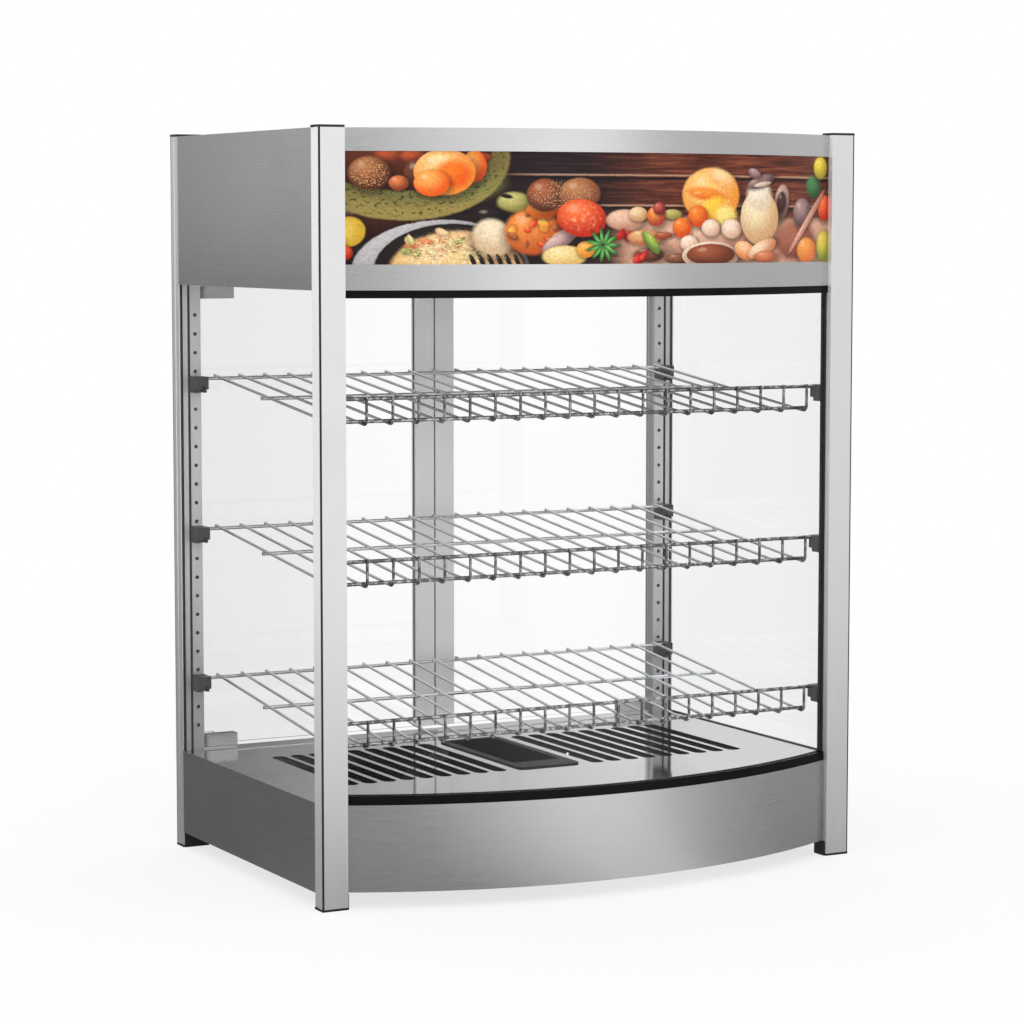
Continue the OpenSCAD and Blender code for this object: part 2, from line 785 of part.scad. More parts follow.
module shelf_top() { shelf(first_shelf_z + 2 * shelf_step * hole_pitch); }
module shelf_middle() { shelf(first_shelf_z + shelf_step * hole_pitch); }
module shelf_bottom() { shelf(first_shelf_z); }

module shelf_clip(rise) {
  // the rod's seat is raised on the rear clips
  clip_w = 14;
  clip_len = rod_v - post_d + 4.5;
  difference() {
    union() {
      translate([post_w - clip_w, post_d, rise - 16]) cube([clip_w, clip_len, 18]);
      translate([hole_u, post_d + eps, -6]) rotate([90, 0, 0]) cylinder(r = hole_r - 0.2, h = 4);
    }
    translate([half_w - rod_half - 0.5, rod_v, rise]) rotate([0, 90, 0]) cylinder(r = rod_r + 0.3, h = 30);
    translate([half_w - rod_half - 0.5, rod_v - rod_r - 0.3, rise]) cube([30, 2 * rod_r + 0.6, 10]);
    translate([post_w - 7.5, post_d + 3, rise - 17]) cube([4, clip_len, 8]);
    translate([0, post_d + clip_len - 6, rise - 17]) cube([post_w + 1, 10, 5]);
  }
}

module shelf_clips() {
  // a hooked rest for each rod end, pegged into the post's holes
  color("#232427") for (k = [0 : 2], sx = [-1, 1], sy = [-1, 1])
    translate([0, 0, first_shelf_z + k * shelf_step * hole_pitch])
      corner(sx, sy) shelf_clip(sy > 0 ? rear_rise : 0);
}

post_front_left();
post_front_right();
post_rear_left();
post_rear_right();
post_caps();
foot_pads();
rubber_strips();
base_side_left();
base_side_right();
base_front_panel();
base_rear_panel();
base_bottom_plate();
deck_plate();
water_pan();
heater_left();
heater_right();
heater_brackets();
heat_shield();
thermostat_body();
thermostat_bulb();
thermostat_shaft();
thermostat_knob();
switch_housings();
heat_rocker();
light_rocker();
indicator_lamp();
display_housing();
display_window();
cord_gland();
terminal_block();
wiring();
lower_glass_channel();
upper_glass_channel();
front_glass();
side_glass_left();
side_glass_right();
header_side_left();
header_side_right();
header_top_panel();
header_rear_panel();
header_floor();
fascia_upper_rail();
fascia_lower_rail();
picture_panel();
light_diffuser();
lamp_tube();
lamp_holders();
lamp_driver();
door_glass_left();
door_glass_right();
door_stile_left();
door_stile_right();
hinge_clamps_left();
hinge_clamps_right();
hinge_pins();
hinge_plates();
shelf_top();
shelf_middle();
shelf_bottom();
shelf_clips();
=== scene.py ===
"""Looks for a heated food display case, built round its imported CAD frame. Metres, +Z up, -Y is the front."""
import math
import random

import bmesh
import bpy
from mathutils import Matrix, Vector


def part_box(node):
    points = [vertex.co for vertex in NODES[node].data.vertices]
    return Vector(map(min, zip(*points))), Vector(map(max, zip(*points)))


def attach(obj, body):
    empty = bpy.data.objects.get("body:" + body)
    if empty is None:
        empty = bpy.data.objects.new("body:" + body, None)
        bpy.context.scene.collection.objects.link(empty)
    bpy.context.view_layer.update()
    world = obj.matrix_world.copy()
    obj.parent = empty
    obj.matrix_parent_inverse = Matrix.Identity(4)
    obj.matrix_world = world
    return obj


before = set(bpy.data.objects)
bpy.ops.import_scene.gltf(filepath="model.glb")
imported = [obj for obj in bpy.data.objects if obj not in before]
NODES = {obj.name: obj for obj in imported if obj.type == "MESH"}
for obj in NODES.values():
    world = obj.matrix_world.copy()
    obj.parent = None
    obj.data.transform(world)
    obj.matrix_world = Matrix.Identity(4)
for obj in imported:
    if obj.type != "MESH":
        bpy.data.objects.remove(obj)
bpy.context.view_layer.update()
MM = 0.001


# ---------------------------------------------------------------- node helpers
class Tree:
    """Short calls for building one material's or group's nodes."""

    def __init__(self, tree):
        self.tree = tree
        tree.nodes.clear()

    def node(self, kind, **props):
        made = self.tree.nodes.new(kind)
        for key, value in props.items():
            setattr(made, key, value)
        return made

    def put(self, socket, value):
        """Links an output to a socket, or sets the socket's own value. None leaves it as it is."""
        if isinstance(value, bpy.types.NodeSocket):
            self.tree.links.new(value, socket)
        elif value is not None:
            if socket.type == "RGBA" and len(value) == 3:
                value = (*value, 1)
            socket.default_value = value

    def math(self, operation, a, b=None):
        n = self.node("ShaderNodeMath", operation=operation)
        self.put(n.inputs[0], a)
        self.put(n.inputs[1], b)
        return n.outputs[0]

    def vector(self, operation, a, b=None, scale=None):
        n = self.node("ShaderNodeVectorMath", operation=operation)
        self.put(n.inputs[0], a)
        self.put(n.inputs[1], b)
        if scale is not None:
            self.put(n.inputs["Scale"], scale)
        return n.outputs["Value" if operation in ("LENGTH", "DISTANCE") else "Vector"]

    def axes(self, vector):
        """A vector's parts, by the names X, Y and Z."""
        n = self.node("ShaderNodeSeparateXYZ")
        self.put(n.inputs[0], vector)
        return n.outputs

    def mix(self, factor, a, b, blend="MIX"):
        n = self.node("ShaderNodeMix", data_type="RGBA", blend_type=blend)
        self.put(n.inputs["Factor"], factor)
        self.put(n.inputs["A"], a)
        self.put(n.inputs["B"], b)
        return n.outputs["Result"]

    def either(self, factor, first, second):
        """A mix of two shaders."""
        n = self.node("ShaderNodeMixShader")
        for socket, value in zip(n.inputs, (factor, first, second)):
            self.put(socket, value)
        return n.outputs[0]

    def span(self, value, lo, hi, out_lo=0.0, out_hi=1.0):
        """Carries lo to hi over to out_lo to out_hi, with a soft start and end."""
        n = self.node("ShaderNodeMapRange", interpolation_type="SMOOTHSTEP")
        given = {"Value": value, "From Min": lo, "From Max": hi, "To Min": out_lo, "To Max": out_hi}
        for name, number in given.items():
            self.put(n.inputs[name], number)
        return n.outputs["Result"]

    def object_place(self):
        return self.node("ShaderNodeTexCoord").outputs["Object"]

    def place(self, scale=(1, 1, 1)):
        mapping = self.node("ShaderNodeMapping")
        self.put(mapping.inputs["Vector"], self.object_place())
        mapping.inputs["Scale"].default_value = scale
        return mapping.outputs["Vector"]

    def noise(self, vector, scale, detail, rough):
        n = self.node("ShaderNodeTexNoise")
        self.put(n.inputs["Vector"], vector)
        self.put(n.inputs["Scale"], scale)
        n.inputs["Detail"].default_value = detail
        n.inputs["Roughness"].default_value = rough
        return n.outputs["Fac"]

    def ramp(self, value, stops):
        """A colour ramp. Each stop is a position with a colour or a grey."""
        n = self.node("ShaderNodeValToRGB")
        self.put(n.inputs[0], value)
        elements = n.color_ramp.elements
        while len(elements) < len(stops):
            elements.new(0.5)
        for element, (at, colour) in zip(elements, stops):
            element.position = at
            element.color = (*colour, 1) if hasattr(colour, "__len__") else (colour, colour, colour, 1)
        return n.outputs["Color"]

    def bump(self, height, distance, strength):
        n = self.node("ShaderNodeBump")
        n.inputs["Strength"].default_value = strength
        n.inputs["Distance"].default_value = distance
        self.put(n.inputs["Height"], height)
        return n.outputs["Normal"]

    def principled(self, colour, roughness, normal=None, **values):
        n = self.node("ShaderNodeBsdfPrincipled")
        self.put(n.inputs["Base Color"], colour)
        self.put(n.inputs["Roughness"], roughness)
        self.put(n.inputs["Normal"], normal)
        for name, value in values.items():
            self.put(n.inputs[name.replace("_", " ")], value)
        return n.outputs["BSDF"]

    def surface(self, shader):
        out = self.node("ShaderNodeOutputMaterial")
        self.put(out.inputs["Surface"], shader)


def material(name):
    made = bpy.data.materials.new(name)
    made.use_nodes = True
    return made, Tree(made.node_tree)


def shade(colour, k):
    return tuple(min(1.0, c * k) for c in colour)


# ---------------------------------------------------------------- materials
# scales of the brushed lines' fine and broad noise, along and across the brushing
HAIR_ALONG, HAIR_ACROSS = 14, 1500
BAND_ALONG, BAND_ACROSS = 2.5, 260.0
# below this height the posts get painted shade, darker towards the counter, the pale faces most
COUNTER_SHADE_Z = 0.40


def facing(t, axis):
    """How squarely a surface faces along an axis, from 0 to 1."""
    normal = t.node("ShaderNodeNewGeometry").outputs["Normal"]
    return t.math("ABSOLUTE", t.axes(normal)[axis])


def brushed(name, colour, roughness, along, fine=1.0, wear=0.06, metallic=1.0, relief=0.15, pale="",
            pale_tone=0.92):
    """Brushed or drawn metal: long hair lines along the given axes and cloudy handling marks. Faces that
    look along the pale axis are painted paler and made less metallic, standing in for the bright studio light
    they catch, and with a pale axis the part also gets painted shade near the counter."""
    made, t = material(name)
    hair_scale = [(HAIR_ALONG if axis in along else HAIR_ACROSS) * fine for axis in "XYZ"]
    band_scale = [BAND_ALONG if axis in along else BAND_ACROSS for axis in "XYZ"]
    hair = t.noise(t.place(hair_scale), 1.0, 4.0, 0.6)
    broad = t.noise(t.place(band_scale), 1.0, 3.0, 0.5)
    cloud = t.noise(t.place(), 9.0, 4.0, 0.6)
    tone = t.math("ADD", t.math("MULTIPLY", hair, 0.75), t.math("MULTIPLY", broad, 0.25))
    base = t.mix(t.span(tone, 0.3, 0.7), shade(colour, 1 - wear), shade(colour, 1 + wear))
    base = t.mix(t.span(cloud, 0.35, 0.75, 0, 0.3), base, shade(colour, 0.92))
    rough = t.math("ADD", t.span(hair, 0.25, 0.75, roughness * 0.8, roughness * 1.2),
                   t.span(cloud, 0.4, 0.8, 0.0, 0.05))
    normal = t.bump(tone, 0.01 * MM, relief)
    if pale:
        # painted shade: the whole part darkens towards the counter below the shade height
        low = t.span(t.axes(t.object_place())["Z"], COUNTER_SHADE_Z, 0.0)
        # painted light: faces along the pale axis are paler, standing in for the bright studio light they
        # catch
        sideways = t.span(facing(t, pale), 0.4, 0.9)
        base = t.mix(t.math("MULTIPLY", low, 0.16), base, (0.0, 0.0, 0.0))
        base = t.mix(sideways, base, t.mix(low, (pale_tone,) * 3, (pale_tone * 0.43,) * 3))
        metallic = t.span(sideways, 0.0, 1.0, metallic, 0.2)
    t.surface(t.principled(base, rough, normal, Metallic=metallic))
    return made


def polished(name, colour, roughness, smudge):
    """Polished sheet: faint rolling lines, wipe marks that dull the shine, and painted shade on the walls of
    its slots.
    """
    made, t = material(name)
    lines = t.noise(t.place((30, 700, 700)), 1.0, 3.0, 0.6)
    wipes = t.noise(t.place((14, 22, 14)), 1.0, 5.0, 0.65)
    base = t.mix(t.span(lines, 0.3, 0.7), shade(colour, 0.96), shade(colour, 1.02))
    # painted shade: faces that don't look up or down, chiefly the walls of the slots, are darkened
    base = t.mix(t.span(facing(t, "Z"), 0.7, 0.3), base, shade(colour, 0.2))
    rough = t.math("ADD", t.span(wipes, 0.4, 0.75, roughness, roughness + smudge),
                   t.span(lines, 0.3, 0.8, 0, 0.02))
    t.surface(t.principled(base, rough, t.bump(lines, 0.01 * MM, 0.3), Metallic=1.0))
    return made


def plated(name, colour, roughness, dark_y, bright_y):
    """Plated wire: wavy surface, duller where the plating thins, and a painted dark, mottled reflection at the
    front edge.
    """
    made, t = material(name)
    wave = t.noise(t.place(), 160.0, 3.0, 0.6)
    dull = t.noise(t.place(), 35.0, 4.0, 0.6)
    # painted reflection: towards the front edge the wire is painted dark and mottled, for the dark
    # surroundings it mirrors
    front = t.span(t.axes(t.object_place())["Y"], bright_y, dark_y)
    mottled = t.mix(t.span(wave, 0.44, 0.60), shade(colour, 0.22), shade(colour, 0.75))
    base = t.mix(t.span(dull, 0.45, 0.75), colour, shade(colour, 0.8))
    base = t.mix(front, base, mottled)
    rough = t.span(dull, 0.35, 0.8, roughness, roughness + 0.16)
    t.surface(t.principled(base, rough, t.bump(wave, 0.12 * MM, 0.35), Metallic=1.0))
    return made


def moulded(name, colour, roughness, depth=0.06 * MM, dust=0.5, shine=0.5):
    """Moulded plastic or rubber: fine spark texture, slight tone drift and a little pale dust."""
    made, t = material(name)
    spark = t.noise(t.place(), 900.0, 2.0, 0.6)
    drift = t.noise(t.place(), 26.0, 4.0, 0.6)
    base = t.mix(t.span(drift, 0.3, 0.75), shade(colour, 0.85), shade(colour, 1.2))
    haze = tuple(0.75 * c + 0.08 for c in colour)
    base = t.mix(t.span(t.noise(t.place(), 70.0, 5.0, 0.7), 0.55, 0.85, 0, dust), base, haze)
    rough = t.span(drift, 0.3, 0.75, roughness - 0.05, roughness + 0.07)
    t.surface(t.principled(base, rough, t.bump(spark, depth, 0.5), Specular_IOR_Level=shine))
    return made


def coated(name, colour, roughness):
    """Hard dark coating on metal: orange-peel surface and rubbed patches."""
    made, t = material(name)
    peel = t.noise(t.place(), 420.0, 2.0, 0.5)
    rub = t.noise(t.place((20, 45, 45)), 1.0, 5.0, 0.7)
    base = t.mix(t.span(rub, 0.5, 0.8), colour, tuple(0.8 * c + 0.012 for c in colour))
    rough = t.span(rub, 0.4, 0.8, roughness, roughness + 0.12)
    t.surface(t.principled(base, rough, t.bump(peel, 0.05 * MM, 0.4), Specular_IOR_Level=0.14))
    return made


def heat_stained(name, colour, tints=1.0):
    """Heated metal: straw and blue heat tints in bands over an oxidised surface."""
    made, t = material(name)
    straw, blue = shade((0.20, 0.13, 0.08), tints), shade((0.11, 0.12, 0.17), tints)
    band = t.noise(t.place((18, 9, 18)), 1.0, 3.0, 0.5)
    tint = t.ramp(band, [(0.3, shade(colour, 0.7)), (0.5, straw), (0.62, blue), (0.8, colour)])
    scale = t.noise(t.place(), 500.0, 3.0, 0.6)
    rough = t.span(scale, 0.3, 0.7, 0.4, 0.6)
    t.surface(t.principled(tint, rough, t.bump(scale, 0.08 * MM, 0.6), Metallic=0.8))
    return made


def clear_glass(name, tint, smudge):
    """Toughened pane: clear body, faint wipe marks in its shine, and light from lamps passes through."""
    made, t = material(name)
    wipes = t.noise(t.place((7, 7, 11)), 1.0, 5.0, 0.7)
    rough = t.span(wipes, 0.5, 0.85, 0.0, smudge)
    pane = t.principled(tint, rough, Transmission_Weight=1.0, IOR=1.34)
    see = t.node("ShaderNodeBsdfTransparent")
    see.inputs["Color"].default_value = (0.96, 0.97, 0.965, 1)
    in_shadow = t.node("ShaderNodeLightPath").outputs["Is Shadow Ray"]
    t.surface(t.either(in_shadow, pane, see.outputs[0]))
    return made


def lamp_lens(name, colour, strength, cut_y):
    """Ribbed amber lens that glows outside the panel, on a dark body behind it."""
    waves = 9000.0  # radians to the metre, which makes a rib every 0.7 mm
    made, t = material(name)
    parts = t.axes(t.object_place())
    outside = t.math("GREATER_THAN", parts["Y"], cut_y)
    ribs = t.math("SINE", t.math("MULTIPLY", parts["X"], waves))
    tone = t.mix(t.span(ribs, -1, 1), shade(colour, 0.7), colour)
    tone = t.mix(outside, (0.02, 0.02, 0.022), tone)
    glow = t.mix(outside, (0.0, 0.0, 0.0), tone)
    rough = t.span(ribs, -1, 1, 0.18, 0.3)
    t.surface(t.principled(tone, rough, t.bump(ribs, 0.1 * MM, 0.3), Emission_Color=glow,
                           Emission_Strength=strength))
    return made


def glowing(name, colour, strength):
    """Milky tube or lens with light in it: streaky body and slightly uneven glow."""
    made, t = material(name)
    cloud = t.noise(t.place((12, 60, 60)), 1.0, 3.0, 0.5)
    tone = t.mix(t.span(cloud, 0.3, 0.7), shade(colour, 0.92), colour)
    t.surface(t.principled(tone, 0.35, Emission_Color=tone, Emission_Strength=strength))
    return made


# ---------------------------------------------------------------- the printed header picture
def blob_group():
    """A node group that paints one shaded ellipse over a colour, with a soft shadow and a spot of shine
    when its edge is sharp. Its inner places run from -1 to 1 across it. The place it hands on leans on its
    colour by a hair, so that the ellipses are worked out one after another and the renderer's stack stays
    small."""
    light_at, shine_at, shadow_at = (-0.25, 0.38, 0.0), (-0.36, 0.46, 0.0), (0.10, -0.16, 0.0)
    shine_colour, shadow_colour = (1.0, 0.95, 0.86), (0.02, 0.008, 0.006)
    hair = 1e-6
    group = bpy.data.node_groups.new("painted_ellipse", "ShaderNodeTree")
    sockets = {"Below": "Color", "Place": "Vector", "Centre": "Vector", "Radii": "Vector", "Angle": "Float",
               "Lit": "Color", "Shaded": "Color", "Edge": "Float"}
    for name, kind in sockets.items():
        group.interface.new_socket(name, in_out="INPUT", socket_type="NodeSocket" + kind)
    group.interface.new_socket("Colour", in_out="OUTPUT", socket_type="NodeSocketColor")
    group.interface.new_socket("Place", in_out="OUTPUT", socket_type="NodeSocketVector")
    t = Tree(group)
    given = t.node("NodeGroupInput").outputs
    turn = t.node("ShaderNodeVectorRotate", rotation_type="Z_AXIS")
    t.put(turn.inputs["Vector"], t.vector("SUBTRACT", given["Place"], given["Centre"]))
    t.put(turn.inputs["Angle"], given["Angle"])
    local = t.vector("DIVIDE", turn.outputs[0], given["Radii"])
    mask = t.span(t.vector("LENGTH", local), 1.0, t.math("SUBTRACT", 1.0, given["Edge"]))
    body = t.mix(t.span(t.vector("DISTANCE", local, light_at), 0.15, 1.25), given["Lit"], given["Shaded"])
    sharp = t.span(given["Edge"], 0.42, 0.28)
    shine = t.span(t.vector("DISTANCE", local, shine_at), 0.30, 0.06, 0.0, 0.30)
    body = t.mix(t.math("MULTIPLY", sharp, shine), body, shine_colour)
    shadow = t.span(t.vector("DISTANCE", local, shadow_at), 1.30, 0.88, 0.0, 0.46)
    below = t.mix(t.math("MULTIPLY", sharp, shadow), given["Below"], shadow_colour)
    painted = t.mix(mask, below, body)
    chained = t.node("ShaderNodeVectorMath", operation="MULTIPLY_ADD")
    for socket, value in zip(chained.inputs, (painted, (hair, hair, hair), given["Place"])):
        t.put(socket, value)
    out = t.node("NodeGroupOutput")
    t.put(out.inputs[0], painted)
    t.put(out.inputs[1], chained.outputs[0])
    return group


def sheet_place(t):
    """Where a point lies on the printed sheet, in millimetres from its middle."""
    lo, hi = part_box("picture_panel")
    middle_z = (lo.z + hi.z) / 2
    parts = t.axes(t.object_place())
    flat = t.node("ShaderNodeCombineXYZ")
    t.put(flat.inputs[0], t.math("MULTIPLY", parts["X"], 1 / MM))
    t.put(flat.inputs[1], t.math("MULTIPLY", t.math("SUBTRACT", parts["Z"], middle_z), 1 / MM))
    return flat.outputs[0]


class Painting:
    """A picture painted in layers, each over the last. All its places and sizes are in millimetres on the
    sheet, u to the right and v up, and its shapes have slightly wavy outlines."""

    def __init__(self, t):
        self.t = t
        self.ellipse = blob_group()
        self.sheet = sheet_place(t)
        wobble = t.node("ShaderNodeTexNoise")
        t.put(wobble.inputs["Vector"], self.sheet)
        wobble.inputs["Scale"].default_value = 0.12
        wobble.inputs["Detail"].default_value = 2.0
        centred = t.vector("SUBTRACT", wobble.outputs["Color"], (0.5, 0.5, 0.5))
        self.wavy = t.vector("ADD", self.sheet, t.vector("SCALE", centred, scale=0.7))
        parts = t.axes(self.wavy)
        self.u, self.v = parts["X"], parts["Y"]
        self.draw = random.Random(11)
        self.colour, self.place = None, self.wavy

    def blob(self, at_u, at_v, ru, rv, pair, angle=0.0, edge=0.12):
        """Paints one ellipse. The pair is its lit and its shaded colour."""
        g = self.t.node("ShaderNodeGroup", node_tree=self.ellipse)
        given = {"Below": self.colour, "Place": self.place, "Centre": (at_u, at_v, 0), "Radii": (ru, rv, 1),
                 "Angle": angle, "Lit": pair[0], "Shaded": pair[1], "Edge": edge}
        for name, value in given.items():
            self.t.put(g.inputs[name], value)
        self.colour, self.place = g.outputs

    def cover(self, mask, colour):
        self.colour = self.t.mix(mask, self.colour, colour)

    def streaks(self, scale_u, scale_v, detail=5.0):
        m = self.t.node("ShaderNodeMapping")
        self.t.put(m.inputs["Vector"], self.sheet)
        m.inputs["Scale"].default_value = (scale_u, scale_v, 1)
        return self.t.noise(m.outputs[0], 1.0, detail, 0.65)

    def inside(self, at_u, at_v, ru, rv, soft=0.1):
        offset = self.t.vector("SUBTRACT", self.wavy, (at_u, at_v, 0))
        away = self.t.vector("LENGTH", self.t.vector("DIVIDE", offset, (ru, rv, 1)))
        return self.t.span(away, 1.0, 1.0 - soft)

    def sprinkle(self, mask, grain, lo, hi, colour):
        self.cover(self.t.math("MULTIPLY", mask, self.t.span(grain, lo, hi)), colour)

    def scatter(self, count, at_u, at_v, ru, rv, sizes, pairs):
        """Paints small ellipses at random over a larger one."""
        draw = self.draw
        for k in range(count):
            turn, out = draw.uniform(0, math.tau), math.sqrt(draw.uniform(0.0, 0.9))
            self.blob(at_u + ru * out * math.cos(turn), at_v + rv * out * math.sin(turn),
                      draw.uniform(*sizes), draw.uniform(*sizes) * 0.6, pairs[k % len(pairs)],
                      angle=draw.uniform(-1.2, 1.2), edge=0.35)


# lit and shaded colours of the food and dishes
CRUST = ((0.52, 0.24, 0.11), (0.13, 0.036, 0.014))
EMBER = ((0.97, 0.46, 0.10), (0.78, 0.13, 0.008))
TOMATO = ((0.96, 0.24, 0.08), (0.62, 0.045, 0.012))
CREAM = ((0.92, 0.78, 0.56), (0.66, 0.42, 0.24))
LEMON = ((0.90, 0.78, 0.20), (0.70, 0.50, 0.05))
BLUSH = ((0.88, 0.66, 0.56), (0.62, 0.36, 0.28))
MAUVE = ((0.50, 0.36, 0.38), (0.16, 0.09, 0.10))
SOOT = ((0.035, 0.026, 0.028), (0.008, 0.006, 0.007))


def paint_wall(p):
    """A plank wall, darker to the left, with two pale seams, and pale cloth below it to the right."""
    t = p.t
    grain = p.streaks(0.016, 0.30)
    cool = t.ramp(grain, [(0.3, (0.010, 0.006, 0.010)), (0.6, (0.040, 0.022, 0.032)),
                          (0.8, (0.09, 0.045, 0.05))])
    warm = t.ramp(grain, [(0.3, (0.045, 0.013, 0.011)), (0.50, (0.20, 0.055, 0.035)),
                          (0.72, (0.46, 0.16, 0.08))])
    p.colour = t.mix(t.span(p.u, -70.0, 70.0), cool, warm)
    for seam in (34.0, 3.0):
        off = t.math("SUBTRACT", p.v, seam)
        light = t.span(t.math("ABSOLUTE", off), 1.6, 0.3, 0, 0.8)
        p.cover(t.math("MULTIPLY", light, t.span(p.u, -150, -120)), (0.62, 0.42, 0.33))
        dark = t.span(t.math("ABSOLUTE", t.math("ADD", off, 3.2)), 2.2, 0.6, 0, 0.85)
        p.cover(t.math("MULTIPLY", dark, t.span(p.u, -150, -120)), (0.008, 0.005, 0.006))
    p.cover(t.math("MULTIPLY", t.span(p.v, -6.0, -16.0), t.span(p.u, -30.0, 10.0)), (0.74, 0.50, 0.40))


def paint_basket(p):
    """A speckled cloth over a basket, dark inside, with seeded rolls and round buns."""
    p.blob(-262, -12, 62, 20, ((0.16, 0.05, 0.035), (0.05, 0.012, 0.010)), edge=0.3)
    p.blob(-235, 52, 105, 66, ((0.50, 0.56, 0.22), (0.42, 0.36, 0.13)), edge=0.04)
    p.blob(-205, 26, 78, 26, ((0.54, 0.60, 0.26), (0.40, 0.42, 0.14)), edge=0.5)
    p.sprinkle(p.inside(-235, 52, 103, 64), p.streaks(0.22, 0.30, 2.0), 0.56, 0.62, (0.085, 0.15, 0.03))
    p.blob(-238, 63, 91, 47, ((0.26, 0.065, 0.03), (0.09, 0.02, 0.012)), edge=0.05)
    for at_u, at_v, r in ((-250, 53, 16), (-228, 52, 15), (-160, 50, 12)):
        p.blob(at_u, at_v, r, r * 0.55, ((0.60, 0.14, 0.05), (0.22, 0.04, 0.02)), edge=0.4)
    p.blob(-268, 35, 21, 18, CRUST)
    p.blob(-222, 34, 16, 17, ((0.26, 0.09, 0.05), (0.08, 0.02, 0.012)))
    p.sprinkle(p.inside(-268, 35, 20, 17, 0.3), p.streaks(0.45, 0.5, 2.0), 0.5, 0.6, (0.66, 0.40, 0.22))
    p.blob(-241, 25, 10, 8, ((0.80, 0.30, 0.12), (0.34, 0.08, 0.03)))
    p.blob(-168, 42, 13, 17, EMBER)
    p.blob(-197, 36, 31, 24, ((0.97, 0.72, 0.34), (0.90, 0.36, 0.06)), edge=0.06)
    p.blob(-189, 34, 22, 18, ((0.96, 0.30, 0.03), (0.86, 0.15, 0.008)), edge=0.5)
    p.blob(-210, 25, 18, 14, ((0.98, 0.56, 0.16), (0.88, 0.18, 0.012)), edge=0.1)
    p.blob(-203, 49, 15, 6, ((1.0, 0.88, 0.62), (0.99, 0.76, 0.44)), angle=-0.2, edge=0.9)
    p.blob(-128, 6, 20, 12, ((0.66, 0.66, 0.30), (0.34, 0.34, 0.10)), edge=0.3)
    p.blob(-136, 12, 9, 3, SOOT, angle=0.2, edge=0.5)
    p.blob(-152, -8, 20, 9, SOOT, edge=0.3)
    p.blob(-287, -24, 17, 16, LEMON, angle=-0.7, edge=0.15)
    p.blob(-291, -45, 9, 9, TOMATO, edge=0.3)


def paint_dish(p):
    """A baked dish on a dark tray with a pale rim, a pale heap and the dark tines of a fork."""
    p.blob(-198, -64, 88, 53, ((0.66, 0.68, 0.76), (0.46, 0.48, 0.56)), edge=0.03)
    p.blob(-190, -64, 76, 49, SOOT, edge=0.03)
    p.blob(-184, -66, 70, 45, ((0.88, 0.72, 0.40), (0.80, 0.50, 0.26)), edge=0.1)
    p.scatter(22, -190, -42, 58, 18, (4, 9), (((0.88, 0.38, 0.16), (0.70, 0.20, 0.07)),
                                              ((0.86, 0.82, 0.52), (0.62, 0.56, 0.22)),
                                              ((0.50, 0.54, 0.20), (0.24, 0.30, 0.08)), CREAM))
    p.sprinkle(p.inside(-184, -54, 64, 36, 0.4), p.streaks(0.30, 0.55, 2.0), 0.52, 0.60, (0.97, 0.93, 0.74))
    p.sprinkle(p.inside(-184, -54, 64, 36, 0.4), p.streaks(0.50, 0.38, 2.0), 0.58, 0.66, (0.84, 0.44, 0.17))
    p.blob(-150, -30, 24, 21, ((0.92, 0.86, 0.72), (0.70, 0.58, 0.42)), angle=0.5, edge=0.25)
    for k in range(6):
        p.blob(-170 + k * 9, -53, 2.6, 8, SOOT, angle=-0.45, edge=0.3)


def paint_stew_and_loaves(p):
    """A stew, seeded loaves, a large tomato and a green top."""
    p.blob(-108, -24, 33, 26, ((0.92, 0.40, 0.10), (0.62, 0.15, 0.03)), edge=0.2)
    p.scatter(12, -108, -24, 27, 20, (4, 8), (TOMATO, ((0.95, 0.66, 0.14), (0.84, 0.36, 0.05)),
                                             ((0.60, 0.22, 0.08), (0.30, 0.08, 0.03))))
    p.blob(-97, -1, 21, 10, EMBER, edge=0.25)
    p.blob(-95, 13, 21, 18, ((0.46, 0.16, 0.08), (0.14, 0.04, 0.02)))
    p.blob(-57, 15, 24, 17, ((0.56, 0.28, 0.14), (0.28, 0.10, 0.05)))
    p.sprinkle(p.inside(-76, 14, 42, 16, 0.3), p.streaks(0.55, 0.6, 2.0), 0.52, 0.62, (0.72, 0.46, 0.28))
    p.blob(-78, -32, 26, 9, ((0.72, 0.56, 0.58), (0.34, 0.22, 0.26)), angle=-0.55, edge=0.2)
    p.blob(-74, -49, 27, 12, ((0.94, 0.86, 0.52), (0.80, 0.62, 0.24)), edge=0.2)
    p.blob(-50, -42, 12, 9, ((0.95, 0.62, 0.14), (0.80, 0.36, 0.05)))
    p.blob(-55, -10, 29, 20, TOMATO, angle=0.1, edge=0.08)
    p.blob(-62, -2, 14, 7, ((0.98, 0.40, 0.22), (0.96, 0.26, 0.10)), edge=0.9)
    p.sprinkle(p.inside(-55, -9, 27, 18, 0.4), p.streaks(0.18, 0.22, 4.0), 0.48, 0.72, (0.99, 0.50, 0.34))
    p.blob(-6, -12, 24, 12, BLUSH, edge=0.2)
    p.scatter(4, -6, -24, 9, 6, (6, 8), (((0.78, 0.06, 0.05), (0.36, 0.01, 0.01)),))
    for k in range(11):
        turn = k * math.tau / 11
        p.blob(-31 + 10 * math.cos(turn), -38 + 9 * math.sin(turn), 10, 2.6,
               ((0.22, 0.62, 0.20), (0.03, 0.24, 0.05)), angle=-turn, edge=0.3)


